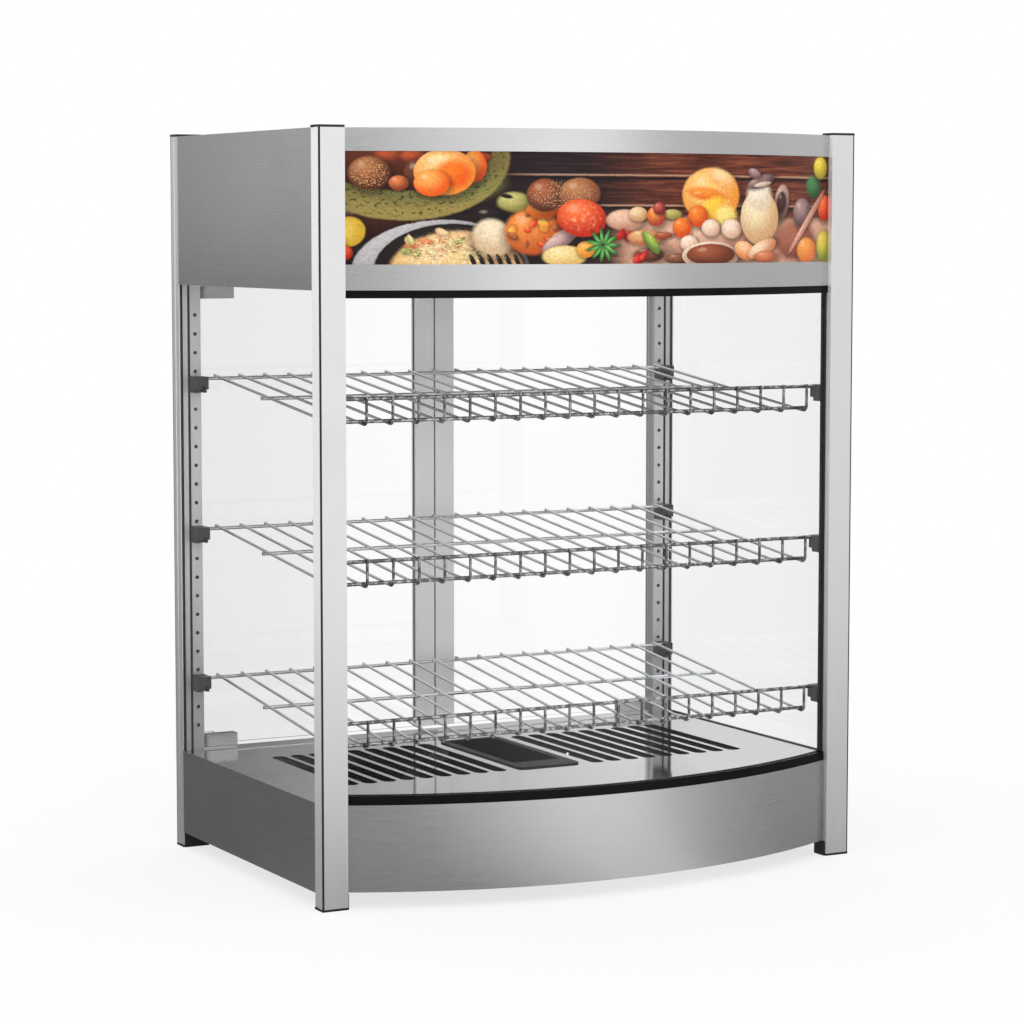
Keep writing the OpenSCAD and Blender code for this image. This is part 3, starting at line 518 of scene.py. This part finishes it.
def paint_peppers_and_mushrooms(p):
    """Cut peppers, a round golden loaf and mushrooms on pale cloth."""
    p.blob(98, -28, 66, 25, BLUSH, edge=0.25)
    p.blob(10, -6, 12, 8, CREAM)
    p.blob(52, -6, 15, 6, ((0.66, 0.62, 0.24), (0.38, 0.36, 0.10)), edge=0.3)
    p.blob(32, -8, 12, 11, ((0.94, 0.40, 0.10), (0.50, 0.08, 0.04)))
    p.blob(36, 0, 8, 7, ((0.66, 0.16, 0.14), (0.26, 0.03, 0.04)))
    p.blob(104, 14, 41, 30, ((0.98, 0.72, 0.30), (0.88, 0.42, 0.06)), edge=0.1)
    p.blob(98, 15, 34, 9, ((0.94, 0.40, 0.05), (0.84, 0.22, 0.02)), angle=0.12, edge=0.5)
    p.blob(119, 31, 24, 12, ((0.98, 0.80, 0.52), (0.92, 0.52, 0.16)), angle=0.35, edge=0.5)
    p.sprinkle(p.inside(104, 14, 39, 28, 0.4), p.streaks(0.10, 0.20, 4.0), 0.50, 0.85, (0.99, 0.84, 0.52))
    p.blob(104, 1, 26, 13, ((0.97, 0.76, 0.12), (0.92, 0.62, 0.06)), angle=-0.4, edge=0.5)
    p.blob(124, -8, 20, 15, ((0.95, 0.88, 0.38), (0.88, 0.70, 0.22)), edge=0.5)
    for at_u, at_v, r in ((86, -8, 14), (65, -20, 13)):
        p.blob(at_u, at_v, r, r * 0.86, ((0.95, 0.34, 0.05), (0.74, 0.11, 0.012)))
    for at_u, at_v, r in ((103, -20, 14), (132, -21, 16), (74, -36, 13)):
        p.blob(at_u, at_v, r, r * 0.72, ((0.97, 0.88, 0.80), (0.76, 0.56, 0.46)), edge=0.25)
    p.blob(18, -30, 23, 9, ((0.86, 0.56, 0.32), (0.54, 0.22, 0.10)), edge=0.2)
    p.blob(42, -28, 13, 4, ((0.60, 0.20, 0.10), (0.34, 0.07, 0.04)), edge=0.3)
    p.blob(24, -48, 22, 9, ((0.34, 0.14, 0.10), (0.10, 0.03, 0.025)), edge=0.3)
    p.scatter(4, 12, -49, 10, 5, (6, 9), (((0.84, 0.08, 0.06), (0.42, 0.015, 0.015)),))
    p.blob(26, -35, 16, 6, ((0.46, 0.66, 0.16), (0.16, 0.32, 0.05)), angle=0.85, edge=0.1)
    p.blob(60, -52, 18, 6, ((0.42, 0.18, 0.12), (0.16, 0.06, 0.04)), edge=0.2)
    p.blob(104, -49, 40, 15, ((0.97, 0.90, 0.84), (0.78, 0.58, 0.50)), edge=0.05)
    p.blob(104, -48, 34, 11.5, ((0.46, 0.15, 0.07), (0.20, 0.05, 0.03)), edge=0.06)


def paint_jug(p):
    """A jug of milk with a pale handle."""
    p.blob(209, 8, 13, 20, ((0.66, 0.50, 0.48), (0.30, 0.18, 0.18)), angle=0.2, edge=0.15)
    p.blob(208, 7, 8, 13, ((0.14, 0.06, 0.05), (0.08, 0.03, 0.03)), angle=0.2, edge=0.2)
    p.blob(174, -9, 30, 30, ((0.96, 0.90, 0.70), (0.72, 0.50, 0.30)), edge=0.07)
    p.blob(173, 14, 23, 20, ((0.96, 0.94, 0.88), (0.80, 0.72, 0.60)), edge=0.42)
    p.blob(176, 29, 24, 7, MAUVE, angle=-0.25, edge=0.2)
    p.blob(166, 37, 12, 6, ((0.52, 0.38, 0.42), (0.22, 0.13, 0.15)), angle=0.3, edge=0.3)
    p.blob(178, 26, 16, 3, ((0.84, 0.74, 0.70), (0.56, 0.44, 0.42)), angle=-0.15, edge=0.3)


def paint_right_edge(p):
    """Bread, a spoon, an onion and leaves at the right edge."""
    p.blob(232, -34, 44, 26, ((0.50, 0.22, 0.16), (0.30, 0.09, 0.06)), edge=0.4)
    p.blob(152, -44, 17, 10, ((0.96, 0.70, 0.46), (0.80, 0.32, 0.14)), angle=0.3)
    p.blob(178, -42, 24, 9, ((0.97, 0.80, 0.66), (0.72, 0.34, 0.18)), angle=-0.35)
    p.blob(184, -51, 20, 7, ((0.80, 0.34, 0.16), (0.46, 0.14, 0.07)), edge=0.25)
    p.blob(244, -4, 17, 17, MAUVE)
    p.blob(284, 2, 13, 16, TOMATO, edge=0.2)
    p.blob(252, -44, 20, 16, ((0.94, 0.48, 0.14), (0.76, 0.26, 0.06)), edge=0.3)
    p.blob(284, -40, 16, 20, ((0.82, 0.72, 0.16), (0.26, 0.36, 0.05)), edge=0.3)
    p.blob(264, 24, 17, 15, ((0.10, 0.34, 0.14), (0.03, 0.12, 0.05)), edge=0.4)
    p.blob(277, 45, 15, 14, ((0.92, 0.80, 0.10), (0.46, 0.42, 0.06)), edge=0.3)
    p.blob(253, -13, 52, 4.6, ((0.80, 0.50, 0.42), (0.52, 0.26, 0.22)), angle=-0.82, edge=0.2)


def printed_picture():
    """A generic food still life: plank wall, basket of rolls, baked dish, loaves, vegetables and a jug."""
    made, t = material("printed_picture")
    p = Painting(t)
    for paint in (paint_wall, paint_basket, paint_dish, paint_stew_and_loaves, paint_peppers_and_mushrooms,
                  paint_jug, paint_right_edge):
        paint(p)
    speckle = t.noise(p.sheet, 0.8, 4.0, 0.7)
    crumb = t.noise(p.sheet, 0.3, 3.0, 0.6)
    picture = t.mix(t.span(crumb, 0.35, 0.7, 0.0, 0.24), p.colour, (0.42, 0.22, 0.12), "MULTIPLY")
    picture = t.mix(t.span(speckle, 0.3, 0.75, 0.0, 0.12), picture, (0.25, 0.11, 0.06), "MULTIPLY")
    picture = t.mix(t.span(speckle, 0.62, 0.8, 0.0, 0.07), picture, (1.0, 0.86, 0.66), "SCREEN")
    picture = t.mix(0.42, picture, t.mix(1.0, picture, picture, "MULTIPLY"))
    picture = t.mix(1.0, picture, (1.0, 0.93, 0.82), "MULTIPLY")
    rough = t.span(speckle, 0.3, 0.75, 0.34, 0.42)
    # painted glow: the opaque print glows a little, standing in for the lamp behind it shining through
    t.surface(t.principled(picture, rough, Emission_Color=picture, Emission_Strength=0.16,
                           Specular_IOR_Level=0.22))
    return made


STEEL = (0.60, 0.60, 0.605)
PANEL_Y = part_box("base_rear_panel")[1].y
SHELF_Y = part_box("shelf_top")[0].y
MATERIALS = {
    # the posts' pale faces and their darkening near the counter are painted light and painted shade
    "post": brushed("post_aluminium", (0.84, 0.84, 0.845), 0.36, "Z", wear=0.03, metallic=0.7, pale="X"),
    "rear_post": brushed("rear_post_aluminium", (0.88, 0.89, 0.895), 0.36, "Z", wear=0.03, metallic=0.8,
                         pale="Y", pale_tone=0.97),
    "front": brushed("front_steel", (0.74, 0.74, 0.75), 0.30, "XY", fine=2.2, wear=0.02, relief=0.04),
    "side": brushed("side_steel", STEEL, 0.27, "Y", fine=1.8, wear=0.03),
    "rear": brushed("rear_steel", STEEL, 0.32, "X"),
    "inner": brushed("inner_sheet", (0.55, 0.555, 0.56), 0.38, "X", fine=0.5),
    "clamp": brushed("clamp_metal", (0.50, 0.505, 0.51), 0.30, "X"),
    "stile": brushed("stile_aluminium", (0.94, 0.945, 0.925), 0.36, "Z", wear=0.04, metallic=0.5),
    "shaft": brushed("turned_steel", (0.66, 0.66, 0.67), 0.22, "X"),
    "screw": brushed("screw_steel", (0.62, 0.62, 0.63), 0.24, "X", fine=0.6),
    "deck": polished("deck_steel", (0.90, 0.91, 0.925), 0.05, 0.05),
    "wire": plated("plated_wire", (0.77, 0.785, 0.80), 0.16, SHELF_Y + 8 * MM, SHELF_Y + 45 * MM),
    "pan": coated("pan_coating", (0.010, 0.010, 0.010), 0.45),
    "heater": heat_stained("heater_sheath", (0.16, 0.15, 0.14)),
    # painted shade: the shield and heater brackets are near black so the deck's slots look dark; faint heat
    # tints stay
    "shield": heat_stained("heat_tinted_painted_shade", (0.040, 0.038, 0.036), 0.25),
    "copper": brushed("copper_tube", (0.55, 0.27, 0.15), 0.34, "Y"),
    "black": moulded("black_plastic", (0.012, 0.012, 0.013), 0.42),
    "channel": moulded("black_channel", (0.004, 0.004, 0.0045), 0.40, depth=0.03 * MM, dust=0.06,
                       shine=0.12),
    "rubber": moulded("black_rubber", (0.014, 0.014, 0.015), 0.6),
    "clip": moulded("clip_plastic", (0.070, 0.072, 0.077), 0.45),
    "control": moulded("control_plastic", (0.016, 0.016, 0.018), 0.28, depth=0.03 * MM, dust=0.3),
    "red": moulded("red_rocker", (0.42, 0.012, 0.012), 0.25, depth=0.03 * MM, dust=0.2),
    "smoke": moulded("smoked_window", (0.035, 0.004, 0.006), 0.08, depth=0.01 * MM, dust=0.1),
    "cream": moulded("cream_plastic", (0.62, 0.56, 0.43), 0.5),
    "white": moulded("white_plastic", (0.78, 0.78, 0.75), 0.42),
    "lead": moulded("lead_cover", (0.36, 0.05, 0.03), 0.5),
    "print": moulded("printed_marks", (0.82, 0.82, 0.80), 0.5, depth=0.01 * MM, dust=0.1),
    "ink": moulded("black_ink", (0.020, 0.020, 0.022), 0.55, depth=0.01 * MM, dust=0.1),
    "glass": clear_glass("case_glass", (0.996, 0.998, 1.0), 0.03),
    "door_glass": clear_glass("door_glass", (0.993, 0.997, 0.998), 0.03),
    "amber": lamp_lens("amber_lens", (0.90, 0.38, 0.04), 0.6, PANEL_Y),
    "digits": glowing("lit_digits", (1.0, 0.10, 0.05), 4.0),
    "tube": glowing("lamp_glow", (1.0, 0.97, 0.90), 1.4),
    "diffuser": glowing("opal_sheet", (0.95, 0.94, 0.90), 0.3),
    "picture": printed_picture(),
}
# the CAD parts that each material goes on
LOOKS = {
    "post": "post_front_left post_front_right",
    "rear_post": "post_rear_left post_rear_right",
    "black": "post_caps foot_pads cord_gland",
    "rubber": "rubber_strips",
    "side": "base_side_left base_side_right header_side_left header_side_right",
    "front": "base_front_panel fascia_upper_rail fascia_lower_rail",
    "rear": "base_rear_panel header_rear_panel header_top_panel",
    "inner": "base_bottom_plate header_floor",
    "deck": "deck_plate",
    "pan": "water_pan",
    "heater": "heater_left heater_right",
    "shield": "heater_brackets heat_shield",
    "copper": "thermostat_bulb",
    "control": "thermostat_body thermostat_knob switch_housings light_rocker display_housing",
    "shaft": "thermostat_shaft hinge_pins",
    "red": "heat_rocker",
    "amber": "indicator_lamp",
    "smoke": "display_window",
    "cream": "terminal_block",
    "lead": "wiring",
    "channel": "lower_glass_channel upper_glass_channel",
    "glass": "front_glass side_glass_left side_glass_right",
    "door_glass": "door_glass_left door_glass_right",
    "picture": "picture_panel",
    "diffuser": "light_diffuser",
    "tube": "lamp_tube",
    "white": "lamp_holders lamp_driver",
    "stile": "door_stile_left door_stile_right",
    "clamp": "hinge_clamps_left hinge_clamps_right hinge_plates",
    "wire": "shelf_top shelf_middle shelf_bottom",
    "clip": "shelf_clips",
}
for look, names in LOOKS.items():
    for name in names.split():
        mesh = NODES[name].data
        mesh.materials.clear()
        mesh.materials.append(MATERIALS[look])

# ---------------------------------------------------------------- small pieces made here
POST_LO, POST_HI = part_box("post_front_left")
HALF_W, INNER_W = -POST_LO.x, -POST_HI.x
FRONT_Y, BACK_Y = POST_LO.y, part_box("post_rear_left")[1].y
MIDDLE_Y = (FRONT_Y + BACK_Y) / 2
BACK, DOWN = (0, 1, 0), (0, 0, -1)
INK = 0.06 * MM     # how far printed marks stand out
RAISED = 0.08 * MM  # how far digits and the knob's line stand out


def keep(name, work, look, body, smooth=False):
    """Turns a bmesh into a piece that rides on a body."""
    bmesh.ops.recalc_face_normals(work, faces=work.faces)
    mesh = bpy.data.meshes.new(name)
    work.to_mesh(mesh)
    work.free()
    mesh.materials.append(MATERIALS[look])
    for face in mesh.polygons:
        face.use_smooth = smooth
    made = bpy.data.objects.new(name, mesh)
    bpy.context.scene.collection.objects.link(made)
    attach(made, body)


def frame_at(place, out, up=(0, 0, 1)):
    """A matrix whose Z points out of a face at place, with Y along up."""
    z = Vector(out).normalized()
    x = Vector(up).cross(z).normalized()
    turn = Matrix((x, z.cross(x), z)).transposed().to_4x4()
    return Matrix.Translation(place) @ turn


def add_screw(work, where, turn, radius=3.2 * MM, height=1.7 * MM):
    """A pan head with a cross recess, made of rings from its middle out and down to its foot."""
    rings = [(0.0, 1.0), (0.18, 1.0), (0.34, 0.985), (0.50, 0.95), (0.62, 0.91), (0.78, 0.80), (0.92, 0.56),
             (1.0, 0.22), (1.0, 0.0)]
    arm_half_width, arm_reach, deepest, depth_reach = 0.13, 0.6, 0.55, 0.66
    count, rows = 48, []
    for share, tall in rings:
        row = []
        for k in range(count if share else 1):
            a = math.tau * k / count
            x, y = radius * share * math.cos(a), radius * share * math.sin(a)
            sunk = 0.0
            if min(abs(x), abs(y)) / radius < arm_half_width and share < arm_reach:
                sunk = deepest * max(0.0, 1 - share / depth_reach) ** 0.5
            across = x * math.cos(turn) - y * math.sin(turn)
            along = x * math.sin(turn) + y * math.cos(turn)
            row.append(work.verts.new(where @ Vector((across, along, height * (tall - sunk)))))
        rows.append(row)
    for inner, outer in zip(rows, rows[1:]):
        for k in range(count):
            n = (k + 1) % count
            if len(inner) == 1:
                work.faces.new((inner[0], outer[k], outer[n]))
            else:
                work.faces.new((inner[k], outer[k], outer[n], inner[n]))
    work.faces.new(rows[-1][::-1])


def add_plate(work, where, outline, thick):
    """A thin raised shape with its outline drawn in the frame's XY."""
    low = [work.verts.new(where @ Vector((x, y, 0))) for x, y in outline]
    high = [work.verts.new(where @ Vector((x, y, thick))) for x, y in outline]
    work.faces.new(low[::-1])
    work.faces.new(high)
    for k in range(len(outline)):
        n = (k + 1) % len(outline)
        work.faces.new((low[k], low[n], high[n], high[k]))


def bar(x0, y0, x1, y1, width):
    """The outline of a straight stroke with pointed ends."""
    a, b = Vector((x0, y0)), Vector((x1, y1))
    along = (b - a).normalized() * width / 2
    side = Vector((-along.y, along.x))
    return [tuple(p) for p in (a - along, a + side, b + side, b + along, b - side, a - side)]


def circle(count):
    """Points round a circle of radius 1."""
    return [(math.cos(math.tau * k / count), math.sin(math.tau * k / count)) for k in range(count)]


# the strokes that make each digit, and where each stroke starts and ends, in widths and half heights
SEGMENTS = {"0": "abcdef", "1": "bc", "2": "abged", "3": "abgcd", "4": "fgbc", "5": "afgcd", "6": "afgedc",
            "7": "abc", "8": "abcdefg", "9": "abcdfg"}
STROKE_ENDS = {"a": (0, 2, 1, 2), "b": (1, 2, 1, 1), "c": (1, 1, 1, 0), "d": (0, 0, 1, 0), "e": (0, 0, 0, 1),
               "f": (0, 1, 0, 2), "g": (0, 1, 1, 1)}


def add_digit(work, where, digit, x, y, height, stroke, slant=0.12):
    """One digit of up to seven straight strokes, with small gaps between them."""
    w, h, cut = height * 0.52, height / 2, stroke * 0.8
    for name in SEGMENTS[digit]:
        x0, y0, x1, y1 = STROKE_ENDS[name]
        a, b = Vector((x0 * w, y0 * h)), Vector((x1 * w, y1 * h))
        inset = (b - a).normalized() * cut
        shape = bar(*(a + inset), *(b - inset), stroke)
        add_plate(work, where, [(x + px - w / 2 + slant * py, y + py - h) for px, py in shape], RAISED)


def print_number(work, where, text, x, y, height, stroke):
    for k, digit in enumerate(text):
        at_x = x + (k - (len(text) - 1) / 2) * height * 0.82
        add_digit(work, where, digit, at_x, y, height, stroke, slant=0.0)


def rear_panel_screws():
    """Screws near the edges of both rear panels, each with its cross at its own angle."""
    outer_x, inner_x = INNER_W - 12 * MM, 70 * MM
    base_edge, header_edge = 9 * MM, 12 * MM
    work = bmesh.new()
    low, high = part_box("base_rear_panel")
    for x in (-outer_x, 0.0, outer_x):
        for z in (low.z + base_edge, high.z - base_edge):
            add_screw(work, frame_at((x, high.y, z), BACK), 0.3 + 7 * x)
    low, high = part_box("header_rear_panel")
    for x in (-outer_x, -inner_x, inner_x, outer_x):
        for z in (low.z + header_edge, high.z - header_edge):
            add_screw(work, frame_at((x, high.y, z), BACK), 0.5 + 9 * x)
    keep("rear_panel_screws", work, "screw", "case", smooth=True)


def underside_screws():
    """Screws up into the base's flanges, along both sides and the back."""
    side_edge, back_edge = 11 * MM, 9 * MM
    side_pitch, back_pitch = 110 * MM, 200 * MM
    work = bmesh.new()
    base_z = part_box("base_side_left")[0].z
    for sx in (-1, 1):
        for y in (-side_pitch, 0.0, side_pitch):
            place = (sx * (HALF_W - side_edge), MIDDLE_Y + y, base_z)
            add_screw(work, frame_at(place, DOWN, BACK), 3 * y)
    for x in (-back_pitch, 0.0, back_pitch):
        add_screw(work, frame_at((x, BACK_Y - back_edge, base_z), DOWN, BACK), 5 * x)
    keep("underside_screws", work, "screw", "case", smooth=True)


def clamp_screws(hand, sx):
    """Two small screws in each of a door's clamps."""
    leaf_start, mid_clamp = 7 * MM, 6.75 * MM
    radius, height = 2.6 * MM, 1.3 * MM
    low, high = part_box("hinge_clamps_" + hand)
    work = bmesh.new()
    for z in (low.z + mid_clamp, high.z - mid_clamp):
        for x in (15 * MM, 27 * MM):
            at_x = low.x + leaf_start + x if sx < 0 else high.x - leaf_start - x
            add_screw(work, frame_at((at_x, high.y, z), BACK), x * 90, radius, height)
    keep("clamp_screws_" + hand, work, "screw", "door_" + hand, smooth=True)


def thermostat_marks():
    """The thermostat's scale, with a number at every second mark, and the line on its knob."""
    marks, sweep = 15, 270
    digit_height, stroke = 3.2 * MM, 0.5 * MM
    gap, long_mark_end, short_mark_end, number_out = 2.2, 4.6, 3.6, 8.2
    line_start, line_end, line_width = 4 * MM, 1.2 * MM, 1.2 * MM
    low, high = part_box("thermostat_knob")
    knob = Vector(((low.x + high.x) / 2, PANEL_Y, (low.z + high.z) / 2))
    knob_r = (high.x - low.x) / 2
    face = frame_at(knob, BACK)
    work = bmesh.new()
    for k in range(marks):
        a = math.radians(90 - sweep * k / (marks - 1))
        c, s = math.cos(a), math.sin(a)
        r0, r1 = knob_r + gap * MM, knob_r + (long_mark_end if k % 2 == 0 else short_mark_end) * MM
        add_plate(work, face, bar(r0 * c, r0 * s, r1 * c, r1 * s, stroke), INK)
        if k % 2 == 0:
            r = knob_r + number_out * MM
            print_number(work, face, str(20 + 5 * k) if k else "0", r * c, r * s, digit_height, stroke)
    keep("thermostat_scale", work, "ink", "case")
    work = bmesh.new()
    top = frame_at((knob.x, high.y, knob.z), BACK)
    add_plate(work, top, bar(0, line_start, 0, knob_r - line_end, line_width), RAISED)
    keep("knob_pointer", work, "print", "knob")


def display_digits():
    """Two lit digits and a degree point on the display's window."""
    first_x, pitch, height, stroke = -5.5, 12, 12 * MM, 1.5 * MM
    point_x, point_y, point_r = 14.6, 5.6, 1.3
    low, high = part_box("display_window")
    work = bmesh.new()
    face = frame_at(((low.x + high.x) / 2, high.y, (low.z + high.z) / 2), BACK)
    for k, digit in enumerate("65"):
        add_digit(work, face, digit, (first_x + pitch * k) * MM, 0.0, height, stroke)
    point = [((point_x + point_r * c) * MM, (point_y + point_r * s) * MM) for c, s in circle(16)]
    add_plate(work, face, point, RAISED)
    keep("display_digits", work, "digits", "case")


def rocker_marks(name):
    """A line and a ring on a rocker's two faces, which slope down towards its middle."""
    tilt = math.radians(8)
    rise, half_length, mark_at = 1.6, 10.6, 5.9
    lean = math.atan2(rise, half_length)
    mark_out = 5 + rise * 0.56  # from the pin out to the faces at the marks
    pin_in, line_half, line_width = 3 * MM, 1.9 * MM, 0.7 * MM
    ring_in, ring_out = 1.2 * MM, 1.9 * MM
    low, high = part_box(name)
    pin_z = sum(c.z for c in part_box("switch_housings")) / 2
    pin = Vector(((low.x + high.x) / 2, PANEL_Y - pin_in, pin_z))
    work = bmesh.new()
    for up in (1, -1):
        out = Vector((0, math.cos(tilt - up * lean), math.sin(tilt - up * lean)))
        centre = Vector((0, mark_out * MM, up * mark_at * MM))
        face = frame_at(pin + Matrix.Rotation(tilt, 3, "X") @ centre, out)
        if up > 0:
            add_plate(work, face, bar(0, -line_half, 0, line_half, line_width), INK)
        else:
            ring = circle(24)
            for (ax, ay), (bx, by) in zip(ring, ring[1:] + ring[:1]):
                piece = [(ax * ring_in, ay * ring_in), (ax * ring_out, ay * ring_out),
                         (bx * ring_out, by * ring_out), (bx * ring_in, by * ring_in)]
                add_plate(work, face, piece, INK)
    keep(name + "_marks", work, "print", name)


rear_panel_screws()
underside_screws()
clamp_screws("left", -1)
clamp_screws("right", 1)
thermostat_marks()
display_digits()
rocker_marks("heat_rocker")
rocker_marks("light_rocker")

# ---------------------------------------------------------------- stage
# brightness by compass direction: 0 and 1 lie behind the case, 0.25 to its left, 0.5 in front, 0.75 to
# its right
ROOM = [(0.0, 0.36), (0.055, 0.30), (0.08, 0.44), (0.14, 0.44), (0.30, 0.50), (0.42, 0.50), (0.525, 1.08),
        (0.58, 1.08), (0.597, 0.52), (0.64, 0.60), (0.70, 0.72), (0.80, 0.72), (0.88, 0.85), (0.913, 0.74),
        (0.94, 0.13), (1.0, 0.36)]
GROUND = [(0.0, 0.17), (0.07, 0.145), (0.14, 0.18), (0.30, 0.30), (0.42, 0.30), (0.52, 1.0), (0.565, 1.0),
          (0.60, 0.56), (0.66, 0.34), (0.80, 0.30), (0.93, 0.42), (1.0, 0.17)]
FLOOR_RADIUS, FADE_RADIUS = 60, 9.0
SENSOR = 36.0


def surroundings(t, direction, stops):
    """Studio brightness by compass direction, and how high the direction points."""
    parts = t.axes(direction)
    forward = t.math("MULTIPLY", parts["Y"], -1.0)
    turn = t.math("DIVIDE", t.math("ARCTAN2", parts["X"], forward), math.tau)
    return t.ramp(t.math("ADD", turn, 0.5), stops), parts["Z"]


def seen_in_metal(t):
    return t.math("MINIMUM", t.node("ShaderNodeLightPath").outputs["Glossy Depth"], 1.0)


def pale_floor():
    """Near white to the eye, and toned by direction and distance where metal mirrors it."""
    made, t = material("pale_floor")
    place = t.node("ShaderNodeNewGeometry").outputs["Position"]
    distance = t.vector("LENGTH", place)
    fade = t.ramp(t.math("DIVIDE", distance, FADE_RADIUS),
                  [(0.0, 0.46), (0.08, 0.78), (0.3, 0.95), (1.0, 1.0)])
    glow = t.node("ShaderNodeEmission")
    t.put(glow.inputs["Color"], t.mix(1.0, surroundings(t, place, GROUND)[0], fade, "MULTIPLY"))
    matt = t.node("ShaderNodeBsdfDiffuse")
    matt.inputs["Color"].default_value = (0.96, 0.96, 0.96, 1)
    far = t.node("ShaderNodeEmission")
    sweep = t.either(t.span(distance, 0.2, 3.0, 0.72, 1.0), matt.outputs[0], far.outputs[0])
    t.surface(t.either(seen_in_metal(t), sweep, glow.outputs[0]))
    return made


def add_floor():
    floor_mesh = bpy.data.meshes.new("floor")
    work = bmesh.new()
    bmesh.ops.create_circle(work, cap_ends=True, segments=96, radius=FLOOR_RADIUS)
    work.to_mesh(floor_mesh)
    work.free()
    floor_mesh.materials.append(pale_floor())
    floor = bpy.data.objects.new("floor", floor_mesh)
    bpy.context.scene.collection.objects.link(floor)


def add_studio():
    """A white surround to the eye, and a room with bright and dim sides where metal mirrors it."""
    world = bpy.data.worlds.new("studio")
    bpy.context.scene.world = world
    world.use_nodes = True
    t = Tree(world.node_tree)
    around = t.node("ShaderNodeTexCoord").outputs["Generated"]
    room, height = surroundings(t, around, ROOM)
    room = t.mix(t.span(height, 0.25, 0.85), room, (1.25, 1.25, 1.25))
    background = t.node("ShaderNodeBackground")
    t.put(background.inputs["Color"], t.mix(seen_in_metal(t), (1.0, 1.0, 1.0), room))
    background.inputs["Strength"].default_value = 1.0
    t.put(t.node("ShaderNodeOutputWorld").inputs["Surface"], background.outputs[0])


def soft_light(name, place, size, power, aim=(0.0, 0.0, 0.4)):
    data = bpy.data.lights.new(name, "AREA")
    data.size = size
    data.energy = power
    made = bpy.data.objects.new(name, data)
    bpy.context.scene.collection.objects.link(made)
    made.location = place
    made.rotation_euler = (Vector(aim) - Vector(place)).to_track_quat("-Z", "Y").to_euler()


def add_camera(place, yaw, pitch, focal):
    """A camera that looks to the right by yaw and down by pitch, with its focal length in picture widths."""
    camera = bpy.data.objects.new("camera", bpy.data.cameras.new("camera"))
    bpy.context.scene.collection.objects.link(camera)
    camera.data.sensor_width = SENSOR
    camera.data.lens = focal * SENSOR
    camera.location = place
    look = Vector((math.sin(yaw) * math.cos(pitch), math.cos(yaw) * math.cos(pitch), -math.sin(pitch)))
    camera.rotation_euler = look.to_track_quat("-Z", "Y").to_euler()
    bpy.context.scene.camera = camera


add_floor()
add_studio()
soft_light("key", (-1.3, -3.2, 2.6), 2.2, 15)
soft_light("fill", (-3.2, -1.2, 1.8), 2.4, 6)
soft_light("side_card", (-1.05, 1.15, 0.90), 0.5, 0.22, aim=(-0.32, 0.0, 0.75))
add_camera((-1.60486, MIDDLE_Y - 3.0362, 0.69799), yaw=0.487, pitch=0.092, focal=3091.2 / 1024)
bpy.context.scene.view_settings.view_transform = "Standard"
